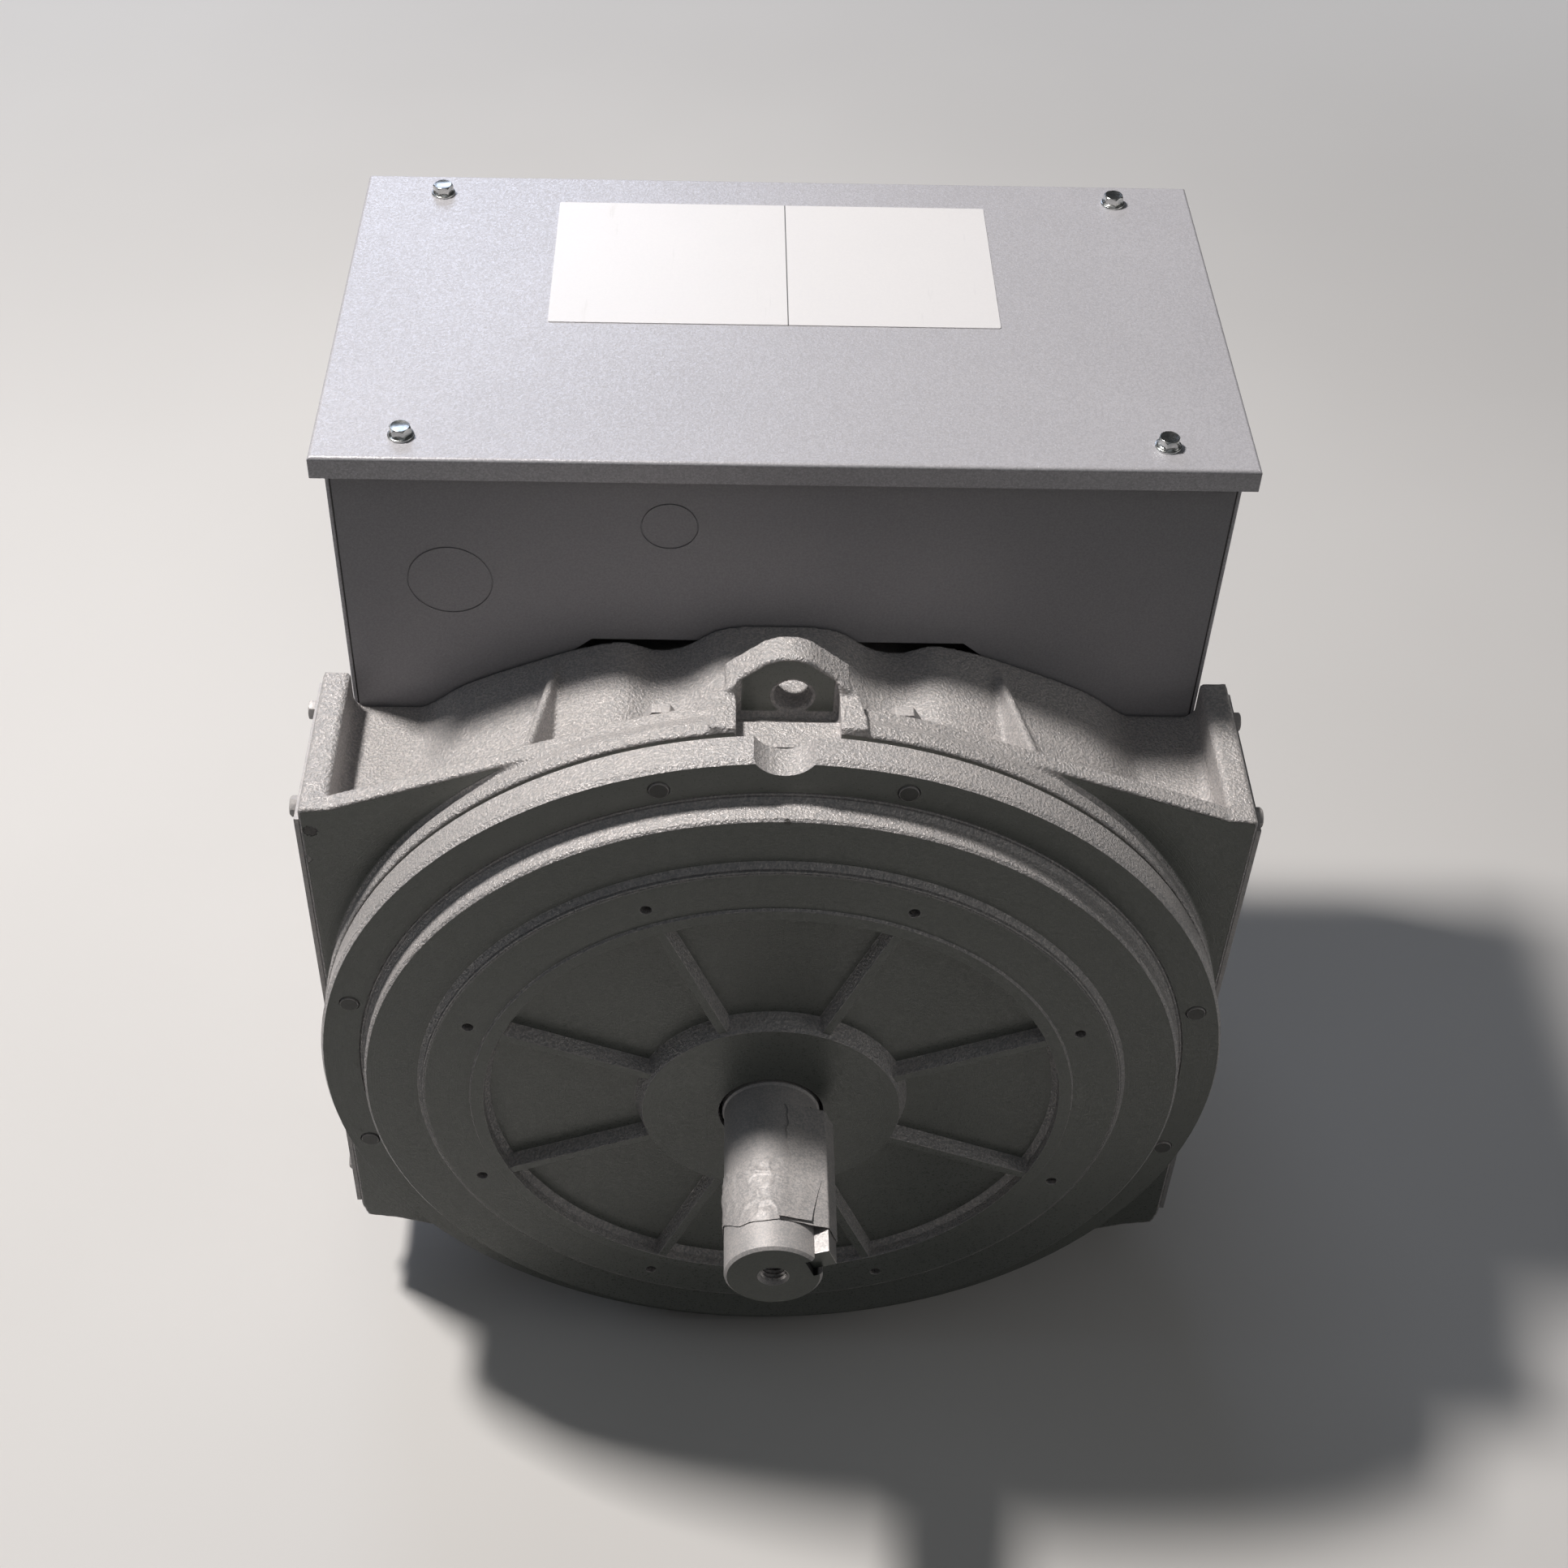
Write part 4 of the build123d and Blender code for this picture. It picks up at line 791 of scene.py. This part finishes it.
def setBolts(pattern, name, places, towards, finish, nodeName):
    # one copy at each place, its head towards the given direction and turned at random about its axis
    dice = random.Random(len(name) * 7 + 3)
    tilt = Vector(towards).to_track_quat("Z", "Y").to_matrix().to_4x4()
    copies = []
    for place in places:
        spin = Matrix.Rotation(dice.uniform(0, math.tau), 4, "Z")
        copies.append(copyTo(pattern, Matrix.Translation(place) @ tilt @ spin))
    dress(join(copies), name, "machine", finish, [nodeName])


def boltMiddles(nodeName):
    # the middles of the boxes round a node's separate solids, in the order of the boxes' low corners
    piece = mergedCopy(nodeName)
    pick(piece)
    bpy.ops.object.mode_set(mode="EDIT")
    bpy.ops.mesh.select_all(action="SELECT")
    bpy.ops.mesh.separate(type="LOOSE")
    bpy.ops.object.mode_set(mode="OBJECT")
    boxes = []
    for part in list(bpy.context.selected_objects):
        corners = [v.co for v in part.data.vertices]
        low = [min(c[i] for c in corners) for i in range(3)]
        high = [max(c[i] for c in corners) for i in range(3)]
        boxes.append((low, high))
        discard(part)
    return [[(a + b) / 2 for a, b in zip(low, high)] for low, high in sorted(boxes)]


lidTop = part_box("box_lid")[1].z
lidPattern = makeBolt("lidPattern", lidBolt)
places = [(x, y, lidTop) for x, y, z in boltMiddles("lid_bolts")]
setBolts(lidPattern, "lidBolts", places, (0, 0, 1), zinc, "lid_bolts")
discard(lidPattern)
screwPattern = makeBolt("screwPattern", coverScrew)
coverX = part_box("side_cover_right")[1].x
for side, nodeName, name in (
    (1, "cover_screws_right", "coverScrewsRight"), (-1, "cover_screws_left", "coverScrewsLeft"),
):
    places = [(coverX * side, y, z) for x, y, z in boltMiddles(nodeName)]
    setBolts(screwPattern, name, places, (side, 0, 0), footPaint, nodeName)
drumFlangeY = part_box("inlet_cover")[0].y + coverScrew["flangeSheet"]
places = [(x, drumFlangeY, z) for x, y, z in boltMiddles("inlet_cover_screws")]
setBolts(screwPattern, "inletScrews", places, (0, 1, 0), footPaint, "inlet_cover_screws")
discard(screwPattern)
print("stage: bolts set")

# label: a film in two panels
label = {"corner": 0.0012, "ease": 0.0001, "rule": 0.47, "ruleWidth": 0.0006}


def makeLabel():
    low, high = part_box("lid_label")
    clearSelection()
    bpy.ops.mesh.primitive_cube_add(size=1, location=(low + high) / 2, scale=high - low)
    piece = bpy.context.object
    placeInMesh(piece)
    bevelEdges(piece, lambda a, b: abs(a.z - b.z) > (high.z - low.z) * 0.5, label["corner"], 4)
    modify(
        piece, "BEVEL", width=label["ease"], segments=1, limit_method="ANGLE", angle_limit=math.radians(60),
    )
    smooth(piece, 30)
    rule = {"x": high.x - (high.x - low.x) * label["rule"], "width": label["ruleWidth"]}
    dress(piece, "labelFilm", "machine", labelFilm("labelWhite", rule), ["lid_label"])


makeLabel()

# shaft end: tapped hole, key and tape
thread = {
    "pitch": 0.0023, "turns": 13, "steps": 28, "start": 0.0021,
    "crest": 0.0058, "root": 0.00685, "crestHalf": 0.0001, "rootHalf": 0.47,
}
tape = {
    "around": 300, "along": 118, "sheet": 0.00020, "radius": 0.02585, "cornerOut": 0.0328, "cornerSide": 0.00690,
    "keyAngle": 21.0, "sleeve": 0.038, "rearReach": 0.0035, "ragged": 0.0022,
    "frontSkew": 0.0100, "skewFrom": (128, 178), "skewTo": (250, 320), "frontWave": 0.0011,
}
# the sleeve's relief: heights in metres, places and widths in millimetres of unrolled paper or in degrees
relief = {
    "crumple": 0.0006, "arcPerDegree": 0.46, "fold": 8.0, "smallFold": 3.7, "crease": 11.0,
    "wrinkle": {"height": 0.0007, "back": 29.5, "sway": 1.6, "width": 1.1, "from": (75, 95), "to": (190, 230)},
    "bulge": {"height": 0.0011, "back": 43.0, "length": 5.0, "angle": 70.0, "spread": 11.0},
}
# the loose end: the angles of its sides with their slants, its front and rear, and how far it lifts
flap = {
    "cutsAcross": 52, "cutsAlong": 44, "left": 89.0, "leftSlant": 2.5, "right": 45.0, "rightSlant": (5.0, 7.0),
    "front": 0.0006, "frontSlant": 0.0006, "rear": 0.0240, "rearSlant": 0.003,
    "base": 0.0004, "rise": 0.0008, "cornerShare": 0.9, "leftRise": 0.0013, "waver": 0.0004,
}


def makeThread():
    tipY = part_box("shaft")[0].y
    clearSelection()
    bpy.ops.mesh.primitive_circle_add(vertices=4, fill_type="NOTHING", location=(0, 0, 0))
    piece = bpy.context.object
    half = thread["pitch"] * thread["rootHalf"]
    corners = [
        (thread["root"], -half), (thread["crest"], -thread["crestHalf"]),
        (thread["crest"], thread["crestHalf"]), (thread["root"], half),
    ]
    for point, (radius, along) in zip(piece.data.vertices, corners):
        point.co = (radius, tipY + thread["start"] + along, 0)
    modify(
        piece, "SCREW", axis="Y", angle=math.tau, screw_offset=thread["pitch"], iterations=thread["turns"],
        steps=thread["steps"], render_steps=thread["steps"], use_merge_vertices=False,
    )
    piece.data.transform(Matrix.Translation((0, 0, shaftZ)))
    pick(piece)
    bpy.ops.object.mode_set(mode="EDIT")
    bpy.ops.mesh.select_all(action="SELECT")
    bpy.ops.mesh.fill_holes(sides=4)
    turnOutward(piece)
    smooth(piece, 40)
    dress(piece, "tappedThread", "rotor", threadSteel)


def step(low, high, value):
    t = min(1.0, max(0.0, (value - low) / (high - low)))
    return t * t * (3 - 2 * t)


def wrapRadius(angle):
    # the wrapped outline: round the shaft, and straight from it to the key's corners
    turn = abs((angle - tape["keyAngle"] + 180) % 360 - 180)
    corner = math.degrees(math.atan2(tape["cornerSide"], tape["cornerOut"]))
    foot = corner + math.degrees(math.acos(tape["radius"] / math.hypot(tape["cornerSide"], tape["cornerOut"])))
    if turn < corner:
        return tape["cornerOut"] / math.cos(math.radians(turn)), turn / foot
    if turn < foot:
        return tape["radius"] / math.cos(math.radians(foot - turn)), turn / foot
    return tape["radius"], turn / foot


def wrapPoint(angle, y, lift):
    reach = wrapRadius(angle)[0] + lift
    return Vector((reach * math.cos(math.radians(angle)), y, shaftZ + reach * math.sin(math.radians(angle))))


def ridge(value, middle, width):
    return math.exp(-(((value - middle) / width) ** 2))


def degreesOf(point):
    return math.degrees(math.atan2(point.z - shaftZ, point.x)) % 360


def sleeveLift(angle, along, back):
    # folds and creases all over, fainter where the paper lies tight, with one wrinkle across and one bulge
    spot = Vector((angle * relief["arcPerDegree"], back, 0))
    fold = abs(noise.noise(spot / relief["fold"]))
    fold += 0.55 * abs(noise.noise(spot / relief["smallFold"] + Vector((7, 3, 1))))
    crease = max(0.0, 1.0 - abs(noise.noise(spot / relief["crease"] + Vector((2, 9, 4)))) * 7.0)
    loose = 0.30 + 0.70 * step(0.9, 1.25, wrapRadius(angle)[1])
    lift = relief["crumple"] * loose * (fold * 0.7 + crease * 0.6) * (0.35 + 0.65 * step(0.0, 0.10, along))
    wrinkle, bulge = relief["wrinkle"], relief["bulge"]
    middle = wrinkle["back"] + wrinkle["sway"] * math.sin(angle / 17.0)
    reach = step(*wrinkle["from"], angle) * (1 - step(*wrinkle["to"], angle))
    lift += wrinkle["height"] * ridge(back, middle, wrinkle["width"]) * reach
    swell = ridge(back, bulge["back"], bulge["length"]) * ridge(angle, bulge["angle"], bulge["spread"])
    return lift + bulge["height"] * swell


def makeSleeve(low, high):
    # a tube drawn to the wrapped outline, creased, and torn off behind except over the key
    length = high.y - low.y
    clearSelection()
    bpy.ops.mesh.primitive_cylinder_add(
        vertices=tape["around"], radius=tape["radius"], depth=length, end_fill_type="NOTHING",
        location=(0, (low.y + high.y) / 2, shaftZ), rotation=(math.radians(90), 0, 0),
    )
    piece = bpy.context.object
    placeInMesh(piece)
    cutAlong(piece, lambda a, b: abs(a.y - b.y) > length * 0.5, tape["along"])
    for point in piece.data.vertices:
        angle = degreesOf(point.co)
        along = (point.co.y - low.y) / length
        front = low.y + tape["frontSkew"] * step(*tape["skewFrom"], angle) * (1 - step(*tape["skewTo"], angle))
        front += tape["frontWave"] * noise.noise(Vector((angle / 19.0, 1.7, 0)))
        y = front + (high.y - front) * along
        point.co = wrapPoint(angle, y, sleeveLift(angle, along, (y - low.y) * 1000))
    rear = low.y + tape["sleeve"]

    def torn(centre, normal):
        angle = degreesOf(centre)
        wave = noise.noise(Vector((angle / 12.0, 5.1, 0))) + 0.5 * noise.noise(Vector((angle / 4.0, 8.2, 0)))
        side = wrapRadius(angle)[1] + 0.10 * noise.noise(Vector((centre.y * 160, 3.3, 0)))
        return centre.y > rear + tape["ragged"] * wave and side > 1.0

    chooseFaces(piece, torn)
    bpy.ops.mesh.delete(type="FACE")
    bpy.ops.object.mode_set(mode="OBJECT")
    modify(piece, "SMOOTH", factor=0.4, iterations=2)
    return piece


def makeFlap(low):
    # a loose end lies over the sleeve, its front edge and left corner lifted
    clearSelection()
    bpy.ops.mesh.primitive_grid_add(
        x_subdivisions=flap["cutsAcross"], y_subdivisions=flap["cutsAlong"], size=1, location=(0, 0, 0),
    )
    piece = bpy.context.object
    slantFront, slantRear = flap["rightSlant"]
    for point in piece.data.vertices:
        across, along = point.co.x + 0.5, 0.5 - point.co.y
        left = flap["left"] - flap["leftSlant"] * along
        right = flap["right"] + slantFront * along - slantRear * (1 - along)
        angle = left + (right - left) * across
        length = flap["rear"] - flap["front"] + flap["rearSlant"] * across
        y = low.y + flap["front"] + length * (1 - along) + flap["frontSlant"] * across
        lift = flap["base"] + flap["rise"] * (along ** 3 + flap["cornerShare"] * along * across ** 3)
        lift += flap["leftRise"] * (1 - across) ** 2 * along
        lift += flap["waver"] * noise.noise(Vector((across * 3.1, along * 2.6, 0.4)))
        point.co = wrapPoint(angle, y, lift)
    turnOutward(piece)
    if sum(face.normal.z for face in piece.data.polygons) < 0:
        piece.data.flip_normals()
    return piece


def makeTape():
    low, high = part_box("masking_tape")
    high.y += tape["rearReach"]
    sheets = [makeSleeve(low, high), makeFlap(low)]
    for sheet in sheets:
        modify(sheet, "SOLIDIFY", thickness=tape["sheet"], offset=0.0)
    piece = join(sheets)
    smooth(piece, 45)
    dress(piece, "paperTape", "rotor", tapeCrepe, ["masking_tape"])


dress(easedCopy("shaft", 0.0005), "shaftSteel", "rotor", shaftPaint, ["shaft"])
dress(easedCopy("shaft_key", 0.0004), "keyBar", "rotor", keySteel, ["shaft_key"])
makeThread()
makeTape()
print("stage: shaft end made")

# windings: laced coil ends around the core
coil = {
    "count": 36, "steps": 11, "wire": 0.0052, "outer": 0.1560, "inner": 0.1235, "reach": 0.0385,
    "spanDegrees": 52.0, "bluntness": 0.55,
}
lace = {"outset": 0.006, "radius": 0.0016, "sink": 0.0004, "rippleSize": 0.006, "ripple": 0.0012}


def makeCoilEnds(nodeName, name, coreFace, direction):
    # the section doesn't turn with its path, so each coil is flat at its crown and inside out past it
    centre = (0, 0, shaftZ)
    clearSelection()
    bpy.ops.mesh.primitive_circle_add(
        vertices=9, radius=coil["wire"], fill_type="NGON",
        location=(coil["outer"], coreFace, shaftZ), rotation=(math.radians(90), 0, 0),
    )
    piece = bpy.context.object
    placeInMesh(piece)
    pick(piece)
    bpy.ops.object.mode_set(mode="EDIT")
    bpy.ops.mesh.select_all(action="SELECT")
    turn = math.radians(coil["spanDegrees"]) / coil["steps"]
    drop = (coil["outer"] - coil["inner"]) / coil["steps"]
    rise = [
        direction * coil["reach"] * math.sin(math.pi * i / coil["steps"]) ** coil["bluntness"]
        for i in range(coil["steps"])
    ] + [0.0]
    for i in range(coil["steps"]):
        angle = turn * i
        shift = (-drop * math.cos(angle), rise[i + 1] - rise[i], -drop * math.sin(angle))
        bpy.ops.mesh.extrude_region_move(TRANSFORM_OT_translate={"value": shift})
        bpy.ops.transform.rotate(value=-turn, orient_axis="Y", center_override=centre)
    turnOutward(piece)
    copies = []
    toAxis, fromAxis = Matrix.Translation((0, 0, -shaftZ)), Matrix.Translation(centre)
    for i in range(coil["count"]):
        spin = Matrix.Rotation(math.tau * i / coil["count"], 4, "Y")
        copies.append(copyTo(piece, fromAxis @ spin @ toAxis))
    discard(piece)
    bundle = join(copies)
    modify(bundle, "SUBSURF", levels=1, render_levels=1)
    smooth(bundle, 60)
    dress(bundle, name, "machine", varnish, [nodeName])
    clearSelection()
    cordY = coreFace + direction * (coil["reach"] + coil["wire"] - lace["sink"])
    bpy.ops.mesh.primitive_torus_add(
        major_segments=144, minor_segments=8, minor_radius=lace["radius"],
        major_radius=(coil["outer"] + coil["inner"]) / 2 + lace["outset"],
        location=(0, cordY, shaftZ), rotation=(math.radians(90), 0, 0),
    )
    cord = bpy.context.object
    placeInMesh(cord)
    ripple = bpy.data.textures.new(name + "Ripple", "CLOUDS")
    ripple.noise_scale = lace["rippleSize"]
    modify(cord, "DISPLACE", texture=ripple, strength=lace["ripple"], texture_coords="LOCAL")
    smooth(cord, 60)
    dress(cord, name + "Lacing", "machine", lacing)


coreLow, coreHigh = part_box("stator_core")
makeCoilEnds("drive_end_windings", "coilEndsFront", coreLow.y, -1)
makeCoilEnds("tail_end_windings", "coilEndsRear", coreHigh.y, 1)
print("stage: windings made")

# weld beads where the feet's webs meet the barrel
bead = {
    "radius": 0.0044, "x": 0.1705, "z": 0.1675, "endGap": 0.002, "cuts": 140,
    "swell": 0.10, "swellsPerMetre": 2100.0, "slant": 500.0, "lump": 0.0016, "lumpSize": 0.009,
}


def makeWeldBeads():
    low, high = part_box("foot_right")
    length = high.y - low.y - 2 * bead["endGap"]
    for side, name in ((1, "weldRight"), (-1, "weldLeft")):
        clearSelection()
        bpy.ops.mesh.primitive_cylinder_add(
            vertices=12, radius=bead["radius"], depth=length,
            location=(side * bead["x"], (low.y + high.y) / 2, bead["z"]), rotation=(math.radians(90), 0, 0),
        )
        piece = bpy.context.object
        placeInMesh(piece)
        cutAlong(piece, lambda a, b: abs(a.y - b.y) > length * 0.5, bead["cuts"])
        for point in piece.data.vertices:
            wave = math.sin(point.co.y * bead["swellsPerMetre"] + point.co.z * bead["slant"])
            scale = 1.0 + bead["swell"] * wave
            point.co.x = side * bead["x"] + (point.co.x - side * bead["x"]) * scale
            point.co.z = bead["z"] + (point.co.z - bead["z"]) * scale
        lumps = bpy.data.textures.new(name + "Lumps", "CLOUDS")
        lumps.noise_scale = bead["lumpSize"]
        modify(piece, "DISPLACE", texture=lumps, strength=bead["lump"], mid_level=0.5, texture_coords="LOCAL")
        smooth(piece, 60)
        dress(piece, name, "machine", footPaint)


makeWeldBeads()

# nodes that keep their own shape
for nodeName in ("drive_end_bearing", "tail_bearing"):
    paintNode(nodeName, bearingSteel)
for nodeName in ("stator_core", "rotor_core"):
    paintNode(nodeName, coreStack)
print("stage: nodes painted")
